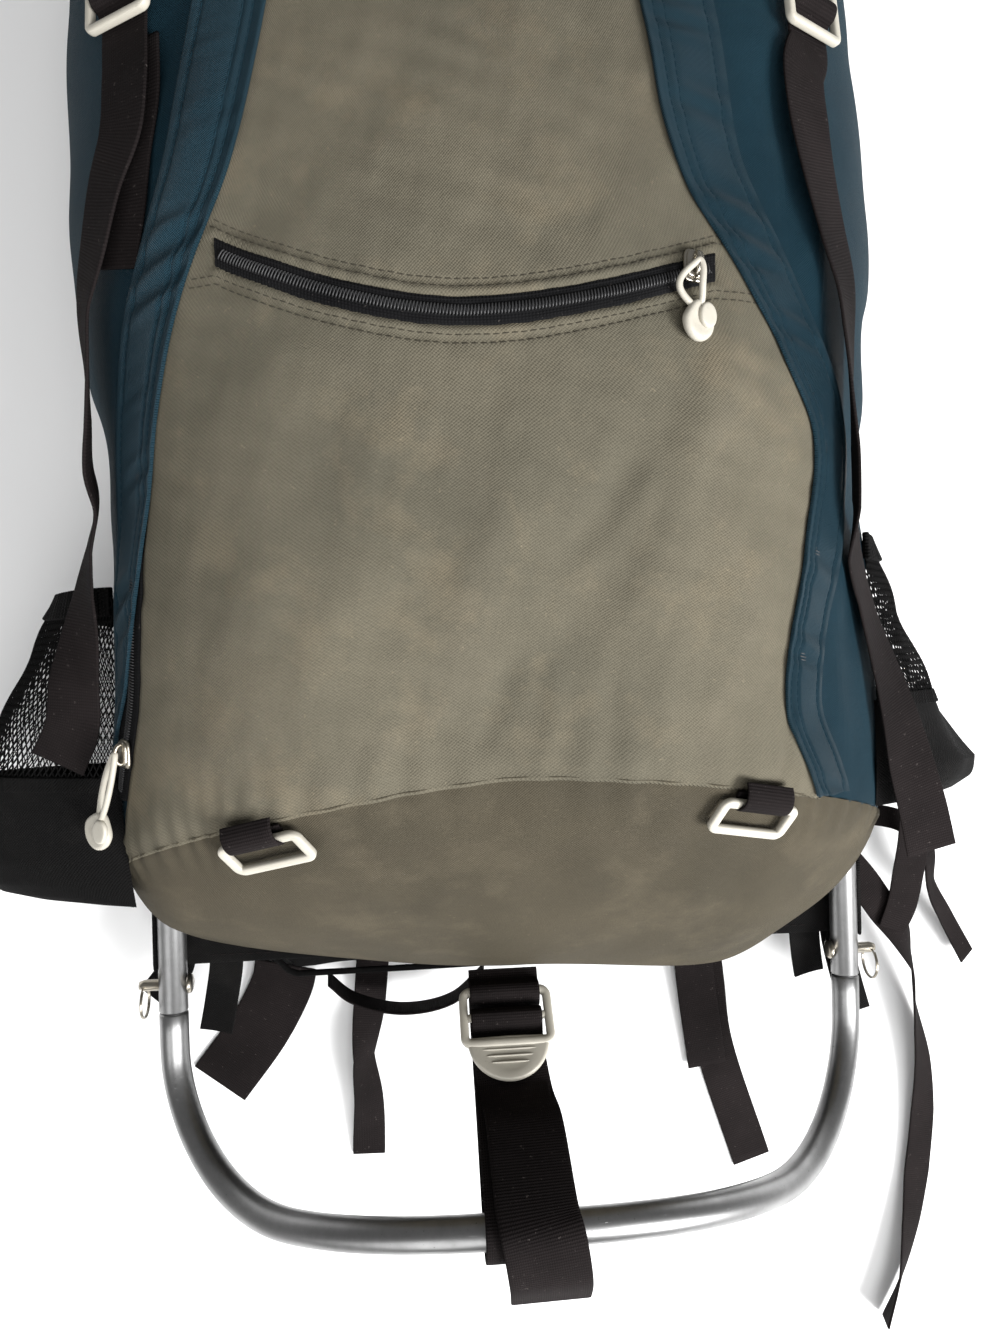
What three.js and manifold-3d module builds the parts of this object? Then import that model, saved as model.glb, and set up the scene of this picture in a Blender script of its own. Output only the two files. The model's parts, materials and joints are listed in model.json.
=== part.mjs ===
// An external frame backpack that lies on its back, in millimetres.
// +X runs across the pack, +Y from its foot to its head and +Z up from the floor.
import * as THREE from "three";
import { mergeVertices } from "three/addons/utils/BufferGeometryUtils.js";
import Module from "manifold-3d";

const wasm = await Module();
wasm.setup();

// Clearances
const GAP = 0.4; // between pieces that touch
const SEAM = 0.6; // between cloth panels that meet edge to edge

// Frame
const TUBE = 15.9; // outer diameter of the side tubes and of the hoop
const TUBE_WALL = 1.6;
const CROSSBAR = 12.7; // outer diameter of the crossbars
const FRAME_WIDTH = 394; // between the side tubes' centre lines
const FRAME_HEIGHT = 700; // from the clevis pins to the top arch's centre line
const ARCH_RADIUS = 88;
const FRAME_LIFT = 52; // from the floor to the side tubes' centre line
const JOINT_DROP = 15; // from the clevis pins down to the side tubes' lower ends
const SPIGOT = 42; // length of the hoop's ends inside the side tubes
const HOOP_DROP = 108; // from the clevis pins to the lowest stretch of the hoop
const HOOP_CORNER = 72;
const HOOP_BOW = 120; // how far the middle of the hoop stands up
const HOOP_RISE = 24; // how far the middle of the hoop comes back towards the bag
const PIN = 6.3; // diameter of the clevis pins
const PIN_HEAD = 11;
const PIN_REACH = 19; // from the tube's centre line to the pin's ringed end
const RING = 20; // outer diameter of the split rings
const RING_WIRE = 2;
const TUBE_SIDES = 10;

// Bag
const BAG_LENGTH = 620; // from the lowest edge to the top under the lid
const BAG_WIDTH = 406;
const BAG_DEPTH = 186;
const BAG_SQUARENESS = 2.7; // 2 is an ellipse, more is squarer
const BAG_LEAN = -0.071; // sideways sag of the front for each millimetre of depth
const BAG_SHIFT = -6; // the bag hangs a little to the left of the frame's middle
const BAG_TURN = THREE.MathUtils.degToRad(1.6);
const BAG_WALL = 2;
const PANEL = 1.2; // thickness of a cloth panel laid over the shell
const LID_RISE = 46; // how far the lid stands above the bag's top
const LID_SKIRT = 62; // how far the lid reaches down over the bag
const SEAM_HEIGHT = 130; // the bottom seam's middle, above the bag's lowest edge
const SEAM_FALL = 55; // how far the seam comes down towards the sides
const BASE_EDGE = 16; // height of the bag's hem under the bottom panel
const BASE_BULGE = 14;
const POCKET_HEIGHT = 160;
const POCKET_BULGE = 84;
const POCKET_CLOTH = 1.4;

// Webbing
const WEB = 1.5; // thickness of the webbing
const NARROW_WEB = 20;
const MIDDLE_WEB = 25;
const WIDE_WEB = 38;
const THIN_WEB = 13;

// Harness
const PAD = 18; // thickness of the hip belt
const PAD_HEIGHT = 84; // width of the hip belt's wings
const SHOULDER_PAD = 12;
const SHOULDER_WIDTH = 62;
const BAND = 2.2; // thickness of the bands stretched over the tubes

// Worked out from the sizes above
const HALF_FRAME = FRAME_WIDTH / 2;
const TUBE_R = TUBE / 2;
const FLOOR = -FRAME_LIFT;
const BAG_BACK = TUBE_R + GAP;
const PANEL_LIFT = 0.6;
const COLLAR = BAG_WALL + GAP;

const MATERIALS = {
  aluminium: [0xa9abad, 0.38, 0.9],
  steel: [0xb9b6ad, 0.3, 1],
  sage: [0x6f6f5e, 0.9, 0],
  olive: [0x5f5b4a, 0.9, 0],
  teal: [0x24485a, 0.65, 0],
  black_cloth: [0x17171a, 0.85, 0],
  mesh: [0x1c1c1f, 0.9, 0],
  webbing: [0x1d1a1b, 0.85, 0],
  plastic: [0xc6c6be, 0.5, 0],
  zip: [0x141416, 0.6, 0],
};

const pack = new THREE.Group();

// Adds one named piece to the pack from a closed solid.
function add(name, look, solid) {
  const mesh = solid.getMesh();
  const geometry = new THREE.BufferGeometry();
  const places = new Float32Array(mesh.numVert * 3);
  for (let i = 0; i < mesh.numVert; i += 1) {
    places.set(mesh.vertProperties.subarray(i * mesh.numProp, i * mesh.numProp + 3), i * 3);
  }
  geometry.setAttribute("position", new THREE.BufferAttribute(places, 3));
  geometry.setIndex(new THREE.BufferAttribute(new Uint32Array(mesh.triVerts), 1));
  geometry.computeVertexNormals();
  const [color, roughness, metalness] = MATERIALS[look];
  const piece = new THREE.Mesh(geometry, new THREE.MeshStandardMaterial({ color, roughness, metalness }));
  piece.name = name;
  pack.add(piece);
}

// Turns a closed geometry into a solid, with its faces pointing out.
function solidOf(geometry, matrix = new THREE.Matrix4()) {
  const bare = new THREE.BufferGeometry();
  const triangles = geometry.index ? geometry.toNonIndexed() : geometry;
  bare.setAttribute("position", triangles.getAttribute("position").clone());
  bare.applyMatrix4(matrix);
  const merged = mergeVertices(bare, 1e-3);
  const triVerts = [];
  const corners = merged.index.array;
  for (let i = 0; i < corners.length; i += 3) {
    const [a, b, c] = [corners[i], corners[i + 1], corners[i + 2]];
    if (a !== b && b !== c && c !== a) triVerts.push(a, b, c);
  }
  const build = (tris) =>
    new wasm.Manifold(
      new wasm.Mesh({
        numProp: 3,
        vertProperties: merged.attributes.position.array,
        triVerts: new Uint32Array(tris),
      }),
    );
  const solid = build(triVerts);
  if (solid.volume() > 0) return solid;
  const turned = [];
  for (let i = 0; i < triVerts.length; i += 3) turned.push(triVerts[i], triVerts[i + 2], triVerts[i + 1]);
  return build(turned);
}

// Reads a named column of a table of rows at a place, with a smooth curve between the rows.
function column(rows, at, place, key) {
  const last = rows.length - 1;
  if (place <= rows[0][at]) return rows[0][key];
  if (place >= rows[last][at]) return rows[last][key];
  let i = 0;
  while (place > rows[i + 1][at]) i += 1;
  const slope = (k) => {
    const low = rows[Math.max(k - 1, 0)];
    const high = rows[Math.min(k + 1, last)];
    return (high[key] - low[key]) / (high[at] - low[at]);
  };
  const span = rows[i + 1][at] - rows[i][at];
  const t = (place - rows[i][at]) / span;
  const [t2, t3] = [t * t, t * t * t];
  return (
    (2 * t3 - 3 * t2 + 1) * rows[i][key] +
    (t3 - 2 * t2 + t) * span * slope(i) +
    (3 * t2 - 2 * t3) * rows[i + 1][key] +
    (t3 - t2) * span * slope(i + 1)
  );
}

// A prism between two heights over an outline of [x, y] points.
function prism(points, low, high) {
  const shape = new THREE.Shape(points.map(([x, y]) => new THREE.Vector2(x, y)));
  const geometry = new THREE.ExtrudeGeometry(shape, { depth: high - low, bevelEnabled: false });
  return solidOf(geometry, new THREE.Matrix4().makeTranslation(0, 0, low));
}

// A round bar between two points.
function bar(from, to, radius, sides = TUBE_SIDES) {
  const geometry = new THREE.CylinderGeometry(radius, radius, from.distanceTo(to), sides);
  const middle = from.clone().lerp(to, 0.5);
  const along = to.clone().sub(from).normalize();
  const turn = new THREE.Quaternion().setFromUnitVectors(new THREE.Vector3(0, 1, 0), along);
  return solidOf(geometry, new THREE.Matrix4().compose(middle, turn, new THREE.Vector3(1, 1, 1)));
}

// A closed slab between two grids of points, row by row, whose edges are walled.
function slab(outer, inner) {
  const rows = outer.length;
  const columns = outer[0].length;
  const places = [];
  for (const grid of [outer, inner]) for (const row of grid) for (const p of row) places.push(p.x, p.y, p.z);
  const at = (side, r, c) => side * rows * columns + r * columns + c;
  const index = [];
  const quad = (a, b, c, d) => index.push(a, b, c, a, c, d);
  for (let r = 0; r + 1 < rows; r += 1) {
    for (let c = 0; c + 1 < columns; c += 1) {
      quad(at(0, r, c), at(0, r, c + 1), at(0, r + 1, c + 1), at(0, r + 1, c));
      quad(at(1, r, c), at(1, r + 1, c), at(1, r + 1, c + 1), at(1, r, c + 1));
    }
    quad(at(0, r, 0), at(0, r + 1, 0), at(1, r + 1, 0), at(1, r, 0));
    quad(at(0, r + 1, columns - 1), at(0, r, columns - 1), at(1, r, columns - 1), at(1, r + 1, columns - 1));
  }
  for (let c = 0; c + 1 < columns; c += 1) {
    quad(at(0, 0, c + 1), at(0, 0, c), at(1, 0, c), at(1, 0, c + 1));
    quad(at(0, rows - 1, c), at(0, rows - 1, c + 1), at(1, rows - 1, c + 1), at(1, rows - 1, c));
  }
  const geometry = new THREE.BufferGeometry();
  geometry.setAttribute("position", new THREE.Float32BufferAttribute(places, 3));
  geometry.setIndex(index);
  return solidOf(geometry);
}

// The direction square to a grid of points at each of them, from its neighbours.
function normalsOf(grid) {
  return grid.map((row, r) =>
    row.map((p, c) => {
      const up = grid[Math.min(r + 1, grid.length - 1)][c].clone().sub(grid[Math.max(r - 1, 0)][c]);
      const side = row[Math.min(c + 1, row.length - 1)].clone().sub(row[Math.max(c - 1, 0)]);
      return side.cross(up).normalize();
    }),
  );
}

// A sheet of even thickness on a grid of points, laid on the side its normals point to.
function sheet(grid, thickness) {
  const normals = normalsOf(grid);
  const outer = grid.map((row, r) => row.map((p, c) => p.clone().addScaledVector(normals[r][c], thickness)));
  return slab(outer, grid);
}

// Flat webbing along a smooth path. Each point has its place and the direction its face looks,
// unless widthDirection says which way the webbing's width lies all along.
function strap(points, width, thickness = WEB, steps = 6, widthDirection = null) {
  const curve = new THREE.CatmullRomCurve3(points.map((p) => p.at), false, "centripetal");
  const count = (points.length - 1) * steps;
  const corners = [[], [], [], []];
  for (let i = 0; i <= count; i += 1) {
    const t = i / count;
    const place = curve.getPoint(t);
    const along = curve.getTangent(t);
    let face;
    if (widthDirection) {
      face = widthDirection.clone().cross(along).normalize();
    } else {
      const low = Math.min(Math.floor(t * (points.length - 1)), points.length - 2);
      const share = t * (points.length - 1) - low;
      face = points[low].face.clone().lerp(points[low + 1].face, share);
      face.addScaledVector(along, -face.dot(along)).normalize();
    }
    const across = along.clone().cross(face);
    [[1, 1], [-1, 1], [-1, -1], [1, -1]].forEach(([s, h], k) => {
      const corner = place.clone().addScaledVector(across, (s * width) / 2);
      corners[k].push(corner.addScaledVector(face, (h * thickness) / 2));
    });
  }
  return slab([corners[0], corners[1]], [corners[3], corners[2]]);
}

const UP = new THREE.Vector3(0, 0, 1);
const V = (x, y, z) => new THREE.Vector3(x, y, z);
const flat = (x, y, z) => ({ at: V(x, y, z), face: UP });

// A face turned from +Z towards +X by an angle in degrees.
function turned(degrees) {
  const a = THREE.MathUtils.degToRad(degrees);
  return V(Math.sin(a), 0, Math.cos(a));
}

// A thing on the left, then the same on the right: side is -1 or 1.
const SIDES = [
  { side: -1, hand: "left" },
  { side: 1, hand: "right" },
];

// Frame: the side tubes and the top arch are one bent tube, with three crossbars.
function upperFrame() {
  const rise = FRAME_HEIGHT - ARCH_RADIUS;
  const inner = HALF_FRAME - ARCH_RADIUS;
  const lowEnd = -JOINT_DROP;
  const points = [V(-HALF_FRAME, lowEnd, 0)];
  for (let i = 0; i <= ARCH_STEPS; i += 1) {
    const a = Math.PI - (i / ARCH_STEPS) * (Math.PI / 2);
    points.push(V(-inner + ARCH_RADIUS * Math.cos(a), rise + ARCH_RADIUS * Math.sin(a), 0));
  }
  for (const p of points.slice().reverse()) points.push(V(-p.x, p.y, 0));
  let solid = sweep(points, TUBE_R);
  for (const share of CROSSBARS) {
    const y = share * FRAME_HEIGHT;
    solid = solid.add(bar(V(-HALF_FRAME, y, 0), V(HALF_FRAME, y, 0), CROSSBAR / 2, 10));
  }
  for (const { side } of SIDES) {
    const x = side * HALF_FRAME;
    solid = solid.subtract(bar(V(x, lowEnd - 1, 0), V(x, lowEnd + SPIGOT + 1, 0), TUBE_R - TUBE_WALL));
    solid = solid.subtract(pinHole(x));
  }
  return solid;
}

const ARCH_STEPS = 6;
const CROSSBARS = [0.13, 0.47, 0.8]; // places of the crossbars, as shares of FRAME_HEIGHT

const pinHole = (x) => bar(V(x - TUBE, 0, 0), V(x + TUBE, 0, 0), PIN / 2 + 0.3);

// A round bar through points, mitred at each of them, for paths that bend gently.
function sweep(points, radius, sides = TUBE_SIDES) {
  const rings = [];
  let reference = null;
  points.forEach((p, i) => {
    const next = points[Math.min(i + 1, points.length - 1)];
    const along = next.clone().sub(points[Math.max(i - 1, 0)]).normalize();
    if (!reference) reference = Math.abs(along.z) < 0.9 ? V(0, 0, 1) : V(1, 0, 0);
    reference = reference.clone().addScaledVector(along, -reference.dot(along)).normalize();
    const other = along.clone().cross(reference);
    const ring = [];
    for (let k = 0; k < sides; k += 1) {
      const a = (k / sides) * Math.PI * 2;
      ring.push(
        p
          .clone()
          .addScaledVector(reference, radius * Math.cos(a))
          .addScaledVector(other, radius * Math.sin(a)),
      );
    }
    rings.push(ring);
  });
  return closedRings(rings);
}

// A solid through rings of points, closed flat at both ends.
function closedRings(rings) {
  const sides = rings[0].length;
  const places = [];
  for (const ring of rings) for (const p of ring) places.push(p.x, p.y, p.z);
  const index = [];
  const at = (r, k) => r * sides + (k % sides);
  for (let r = 0; r + 1 < rings.length; r += 1) {
    for (let k = 0; k < sides; k += 1) {
      index.push(at(r, k), at(r, k + 1), at(r + 1, k + 1), at(r, k), at(r + 1, k + 1), at(r + 1, k));
    }
  }
  const last = rings.length - 1;
  for (let k = 1; k + 1 < sides; k += 1) {
    index.push(at(0, 0), at(0, k + 1), at(0, k));
    index.push(at(last, 0), at(last, k), at(last, k + 1));
  }
  const geometry = new THREE.BufferGeometry();
  geometry.setAttribute("position", new THREE.Float32BufferAttribute(places, 3));
  geometry.setIndex(index);
  return solidOf(geometry);
}

// The hoop's centre line at a place across: it stands up from the side tubes like a bow.
function hoopPoint(x, y) {
  const z = HOOP_BOW * (1 - (x / HALF_FRAME) ** 2);
  return V(x, y + HOOP_RISE * (z / HOOP_BOW) ** 2.5, z);
}

// The hoop's centre line, from the left spigot's shoulder to the right one's.
function hoopPath() {
  const points = [];
  const inner = HALF_FRAME - HOOP_CORNER;
  const turn = HOOP_CORNER - HOOP_DROP;
  points.push(V(-HALF_FRAME, -JOINT_DROP - GAP, 0));
  for (let i = 0; i <= ARCH_STEPS; i += 1) {
    const a = Math.PI + (i / ARCH_STEPS) * (Math.PI / 2);
    points.push(hoopPoint(-inner + HOOP_CORNER * Math.cos(a), turn + HOOP_CORNER * Math.sin(a)));
  }
  for (let i = 1; i < HOOP_STEPS; i += 1) {
    points.push(hoopPoint((-inner * (HOOP_STEPS - i)) / HOOP_STEPS, -HOOP_DROP));
  }
  const left = points.slice();
  points.push(hoopPoint(0, -HOOP_DROP));
  for (const p of left.reverse()) points.push(V(-p.x, p.y, p.z));
  return points;
}

const HOOP_STEPS = 4; // stretches of the bowed run on each side of its middle

function lowerFrame() {
  let solid = sweep(hoopPath(), TUBE_R);
  for (const { side } of SIDES) {
    const x = side * HALF_FRAME;
    const end = -JOINT_DROP + SPIGOT - 2;
    solid = solid.add(bar(V(x, -JOINT_DROP - TUBE_R, 0), V(x, end, 0), TUBE_R - TUBE_WALL - 0.35));
    solid = solid.subtract(pinHole(x));
  }
  return solid;
}

// A clevis pin through a side tube, with a hole near its outer end for the split ring.
function clevisPin(side) {
  const x = side * HALF_FRAME;
  const headAt = x - side * (TUBE_R + GAP);
  const eye = x + side * (PIN_REACH - PIN / 2);
  const shank = bar(V(headAt, 0, 0), V(x + side * PIN_REACH, 0, 0), PIN / 2);
  const head = bar(V(headAt, 0, 0), V(headAt - side * 2.6, 0, 0), PIN_HEAD / 2);
  return shank.add(head).subtract(bar(V(eye, 0, -PIN), V(eye, 0, PIN), RING_WIRE * 0.9, 8));
}

// A split ring, hanging in the pin's eye.
function splitRing(side) {
  const geometry = new THREE.TorusGeometry((RING - RING_WIRE) / 2, RING_WIRE / 2, 5, 14);
  const eye = side * (HALF_FRAME + PIN_REACH - PIN / 2);
  const place = new THREE.Matrix4().makeTranslation(eye, -(RING - RING_WIRE) / 2, 0);
  return solidOf(geometry, place.multiply(new THREE.Matrix4().makeRotationY(Math.PI / 2)));
}

// Bag sections: at is a share of BAG_LENGTH, half of BAG_WIDTH / 2 and deep of BAG_DEPTH.
const BAG_SECTIONS = [
  { at: 0.0, half: 0.97, deep: 0.64 },
  { at: 0.1, half: 0.985, deep: 0.75 },
  { at: 0.19, half: 0.99, deep: 0.85 },
  { at: 0.32, half: 0.962, deep: 0.945 },
  { at: 0.4, half: 0.946, deep: 0.98 },
  { at: 0.48, half: 0.965, deep: 1.0 },
  { at: 0.56, half: 0.998, deep: 0.995 },
  { at: 0.65, half: 1.0, deep: 0.98 },
  { at: 0.8, half: 0.985, deep: 0.93 },
  { at: 1.0, half: 0.95, deep: 0.86 },
];

// The bag's lowest edge: across runs from -1 at the left to 1 at the right, rise is a share of SEAM_HEIGHT.
const BAG_HEM = [
  { across: -1.0, rise: 0.44 },
  { across: -0.75, rise: 0.33 },
  { across: -0.5, rise: 0.25 },
  { across: -0.25, rise: 0.17 },
  { across: 0.0, rise: 0.08 },
  { across: 0.3, rise: 0.02 },
  { across: 0.5, rise: 0.15 },
  { across: 0.75, rise: 0.34 },
  { across: 1.0, rise: 0.52 },
];

// Folds of the cloth, in shares: across of the half girth, up of BAG_LENGTH, swell of BAG_DEPTH.
const BAG_FOLDS = [
  { across: 0.1, up: 0.37, wide: 0.05, long: 0.11, lean: 0.9, swell: -0.028 },
  { across: 0.17, up: 0.41, wide: 0.06, long: 0.1, lean: 0.9, swell: 0.024 },
  { across: -0.25, up: 0.3, wide: 0.12, long: 0.14, lean: -0.5, swell: 0.026 },
  { across: 0.0, up: 0.26, wide: 0.09, long: 0.05, lean: 0.0, swell: -0.02 },
  { across: -0.05, up: 0.75, wide: 0.25, long: 0.12, lean: 0.0, swell: -0.022 },
  { across: 0.8, up: 0.52, wide: 0.12, long: 0.03, lean: 0.0, swell: -0.04 },
  { across: 0.8, up: 0.42, wide: 0.12, long: 0.025, lean: 0.0, swell: -0.035 },
  { across: -0.8, up: 0.46, wide: 0.12, long: 0.035, lean: 0.0, swell: -0.035 },
];

const foldAt = (across, along) =>
  BAG_FOLDS.reduce((sum, fold) => {
    const v = (along / BAG_LENGTH - fold.up) / fold.long;
    const u = (across - fold.across - fold.lean * (along / BAG_LENGTH - fold.up)) / fold.wide;
    return sum + fold.swell * BAG_DEPTH * Math.exp(-u * u - v * v);
  }, 0);

// Turns a point of the upright bag to how the bag hangs on the frame.
function hang(p) {
  const x = p.x + BAG_LEAN * p.z + BAG_SHIFT;
  const y = p.y - BAG_LENGTH / 3;
  return V(
    x * Math.cos(BAG_TURN) - y * Math.sin(BAG_TURN),
    x * Math.sin(BAG_TURN) + y * Math.cos(BAG_TURN) + BAG_LENGTH / 3,
    p.z,
  );
}

// The bag's front and sides: a squared ellipse standing on the flat back. out lifts the point off the cloth.
function bagPoint(across, along, out = 0) {
  const half = (column(BAG_SECTIONS, "at", along / BAG_LENGTH, "half") * BAG_WIDTH) / 2 + out;
  const deep = column(BAG_SECTIONS, "at", along / BAG_LENGTH, "deep") * BAG_DEPTH + 2 * out;
  const a = (across * Math.PI) / 2;
  const power = 2 / BAG_SQUARENESS;
  const round = Math.abs(Math.cos(a)) ** power;
  const x = half * Math.sign(across) * Math.abs(Math.sin(a)) ** power;
  const fold = foldAt(across, along) * Math.min(1, round * 3);
  const tuck = Math.abs(across) > 0.6 ? Math.sign(across) * fold : 0;
  return hang(V(x + tuck, along, BAG_BACK - out + deep * round + (tuck ? 0 : fold)));
}

const seamHeight = (across) => SEAM_HEIGHT - SEAM_FALL * Math.abs(across) ** 1.1;
const hemRise = (across) => column(BAG_HEM, "across", across, "rise") * SEAM_HEIGHT;

// The bag's hem, where the bottom panel meets the back.
function hemPoint(across, out = 0, high = BASE_EDGE) {
  const half = (BAG_SECTIONS[0].half * BAG_WIDTH) / 2 + out;
  const a = (across * Math.PI) / 2;
  const power = 2 / BAG_SQUARENESS;
  const x = half * Math.sign(across) * Math.abs(Math.sin(a)) ** power;
  const lift = high ? (high + 2 * out) * Math.abs(Math.cos(a)) ** 0.5 : 0;
  return hang(V(x, hemRise(across) - out, BAG_BACK - out + lift));
}

// The bottom panel: a bulging sheet from the seam, at share 0, to the hem, at share 1.
function bottomPoint(across, share, out = 0) {
  const from = bagPoint(across, seamHeight(across), out);
  const to = hemPoint(across, out);
  const bulge = BASE_BULGE * Math.sin(Math.PI * share) * Math.cos((across * Math.PI) / 2);
  return from.lerp(to, share).add(V(0, -0.77 * bulge, 0.64 * bulge));
}

const BAG_COLUMNS = 16;
const BOTTOM_ROWS = 3;
const BODY_ROWS = 8;
const COLLAR_AT = BAG_LENGTH - LID_SKIRT;

const acrossAt = (i) => -1 + (2 * i) / BAG_COLUMNS;

// One row of the bag's front: below 0 it lies on the bottom panel, from 0 up on the body.
function frontRow(level, out) {
  const row = [];
  for (let i = 0; i <= BAG_COLUMNS; i += 1) {
    const across = acrossAt(i);
    const seam = seamHeight(across);
    if (level < 0) row.push(bottomPoint(across, -level, out));
    else row.push(bagPoint(across, seam + (COLLAR_AT - seam) * level, out));
  }
  return row;
}

// The front row carried on round the flat back, so that it closes into a ring.
function ringOf(front, out, level) {
  const ring = front.slice();
  for (let i = BAG_COLUMNS - 1; i > 0; i -= 1) {
    const p = front[i].clone();
    if (level === -1) {
      ring.push(hemPoint(acrossAt(i), out, 0));
    } else {
      p.x -= BAG_LEAN * (p.z - BAG_BACK + out);
      p.z = BAG_BACK - out;
      ring.push(p);
    }
  }
  return ring;
}

const bottomLevels = Array.from({ length: BOTTOM_ROWS }, (_, i) => -1 + i / BOTTOM_ROWS);
const bodyLevels = Array.from({ length: BODY_ROWS + 1 }, (_, i) => i / BODY_ROWS);
const bagLevels = [...bottomLevels, ...bodyLevels];

// A ring of the straight collar and lid, above the body.
function topRing(along, out, shrink = 1) {
  const front = [];
  for (let i = 0; i <= BAG_COLUMNS; i += 1) front.push(bagPoint(acrossAt(i), along, out));
  const ring = ringOf(front, out, 1);
  const middle = ring.reduce((sum, p) => sum.add(p), V(0, 0, 0)).multiplyScalar(1 / ring.length);
  const low = BAG_BACK - out;
  return ring.map((p) => V(middle.x + (p.x - middle.x) * shrink, p.y, low + (p.z - low) * shrink));
}

// A thin-walled vessel: outer and inner rings that meet at the mouth, with both bottoms closed.
function vessel(outer, inner, closeEnd) {
  const sides = outer[0].length;
  const places = [];
  const index = [];
  for (const ring of [...outer, ...inner]) for (const p of ring) places.push(p.x, p.y, p.z);
  const at = (side, r, k) => side * outer.length * sides + r * sides + (k % sides);
  const quad = (a, b, c, d) => index.push(a, b, c, a, c, d);
  for (let k = 0; k < sides; k += 1) {
    for (let r = 0; r + 1 < outer.length; r += 1) {
      quad(at(0, r, k), at(0, r, k + 1), at(0, r + 1, k + 1), at(0, r + 1, k));
      quad(at(1, r, k), at(1, r + 1, k), at(1, r + 1, k + 1), at(1, r, k + 1));
    }
    const top = outer.length - 1;
    quad(at(0, top, k), at(0, top, k + 1), at(1, top, k + 1), at(1, top, k));
  }
  closeEnd(index, at, sides);
  const geometry = new THREE.BufferGeometry();
  geometry.setAttribute("position", new THREE.Float32BufferAttribute(places, 3));
  geometry.setIndex(index);
  return solidOf(geometry);
}

// Closes a ring by a strip from its front half to its back half.
function stripEnd(index, at, sides) {
  const half = sides / 2;
  for (let i = 0; i < half; i += 1) {
    const [a, b] = [i, i + 1];
    const [c, d] = [(sides - i - 1) % sides, (sides - i) % sides];
    index.push(at(0, 0, b), at(0, 0, a), at(0, 0, d), at(0, 0, b), at(0, 0, d), at(0, 0, c));
    index.push(at(1, 0, a), at(1, 0, b), at(1, 0, d), at(1, 0, b), at(1, 0, c), at(1, 0, d));
  }
}

// The sewn shell of the bag: blue cloth, open at the top under the lid.
function bagShell() {
  const rings = (out) => {
    const list = bagLevels.map((level) => ringOf(frontRow(level, out), out, level));
    list.pop();
    list.push(topRing(COLLAR_AT - 6, out));
    list.push(topRing(COLLAR_AT, out - COLLAR));
    list.push(topRing(BAG_LENGTH, out - COLLAR));
    return list;
  };
  return vessel(rings(0), rings(-BAG_WALL), stripEnd);
}

// The lid: a cap over the bag's collar, with a domed top.
function lid() {
  const dome = [
    { up: 0, shrink: 1 },
    { up: 0.45, shrink: 0.95 },
    { up: 0.8, shrink: 0.8 },
    { up: 0.97, shrink: 0.45 },
  ];
  const rings = (out, drop) => [
    ...dome.map(({ up, shrink }) => topRing(BAG_LENGTH + (LID_RISE - drop) * up, out, shrink)).reverse(),
    topRing(BAG_LENGTH - LID_SKIRT / 2, out),
    topRing(COLLAR_AT + GAP, out),
  ];
  return vessel(rings(0, 0), rings(-BAG_WALL, BAG_WALL), stripEnd);
}

// A layer of cloth over the bag's front and sides, from one lift to another.
function layer(low, high) {
  const grid = (out) => bagLevels.map((level) => frontRow(level, out).slice(1, -1));
  return slab(grid(high), grid(low));
}

// The grey panel's side edges: at is a share of BAG_LENGTH, left and right of BAG_WIDTH / 2.
const FRONT_EDGES = [
  { at: 0.1, left: -0.975, right: 0.69 },
  { at: 0.14, left: -0.955, right: 0.65 },
  { at: 0.19, left: -0.91, right: 0.59 },
  { at: 0.255, left: -0.855, right: 0.505 },
  { at: 0.36, left: -0.818, right: 0.547 },
  { at: 0.43, left: -0.778, right: 0.571 },
  { at: 0.482, left: -0.744, right: 0.488 },
  { at: 0.526, left: -0.7, right: 0.4 },
  { at: 0.6, left: -0.601, right: 0.261 },
  { at: 0.7, left: -0.537, right: 0.212 },
  { at: 0.8, left: -0.49, right: 0.16 },
  { at: 0.92, left: -0.46, right: 0.14 },
];

// Where the storm flaps begin and end, outward from those edges in mm, as seen from above.
const FLAP_INNER = [
  { at: 0.2, left: 9.5, right: -3 },
  { at: 0.24, left: 10.5, right: -3 },
  { at: 0.27, left: 7, right: -3 },
  { at: 0.33, left: 2, right: -3 },
  { at: 0.4, left: -3, right: -3 },
];
const FLAP_WIDTHS = [
  { at: 0.14, left: 12.5, right: 16 },
  { at: 0.21, left: 12.5, right: 16 },
  { at: 0.27, left: 14, right: 15 },
  { at: 0.43, left: 17, right: 20 },
  { at: 0.6, left: 24, right: 27 },
  { at: 0.92, left: 28, right: 28 },
];

const edgeX = (along, hand, shift = 0) =>
  (column(FRONT_EDGES, "at", along / BAG_LENGTH, hand) * BAG_WIDTH) / 2 + shift;

// The bottom seam seen from above, from left to right, moved along +Y by shift.
function seamLine(shift) {
  const points = [];
  for (let i = 0; i <= SEAM_STEPS; i += 1) {
    const across = PANEL_REACH * ((2 * i) / SEAM_STEPS - 1);
    const p = bagPoint(across, seamHeight(across), PANEL_LIFT);
    points.push([p.x, p.y + shift]);
  }
  return points;
}

const SEAM_STEPS = 16;
const PANEL_REACH = 0.76; // how far round the bag the bottom panel goes, 1 being its back edges
const EDGE_STEP = BAG_LENGTH / 20;

// A strip between two edges given as functions of the place along the bag. All strips share their
// corners' places.
function stripOutline(low, high, leftEdge, rightEdge) {
  const places = [low];
  for (let i = Math.floor(low / EDGE_STEP) + 1; i * EDGE_STEP < high; i += 1) places.push(i * EDGE_STEP);
  places.push(high);
  return [...places.map((y) => [leftEdge(y), y]), ...places.reverse().map((y) => [rightEdge(y), y])];
}

const PANEL_TOP = COLLAR_AT - 10;
const CUT_BELOW = 40; // how far below the bag's foot the panel's outline starts
const CUT = [-2 * FRAME_LIFT, 2 * BAG_DEPTH]; // heights between which cloth is cut to an outline

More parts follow.
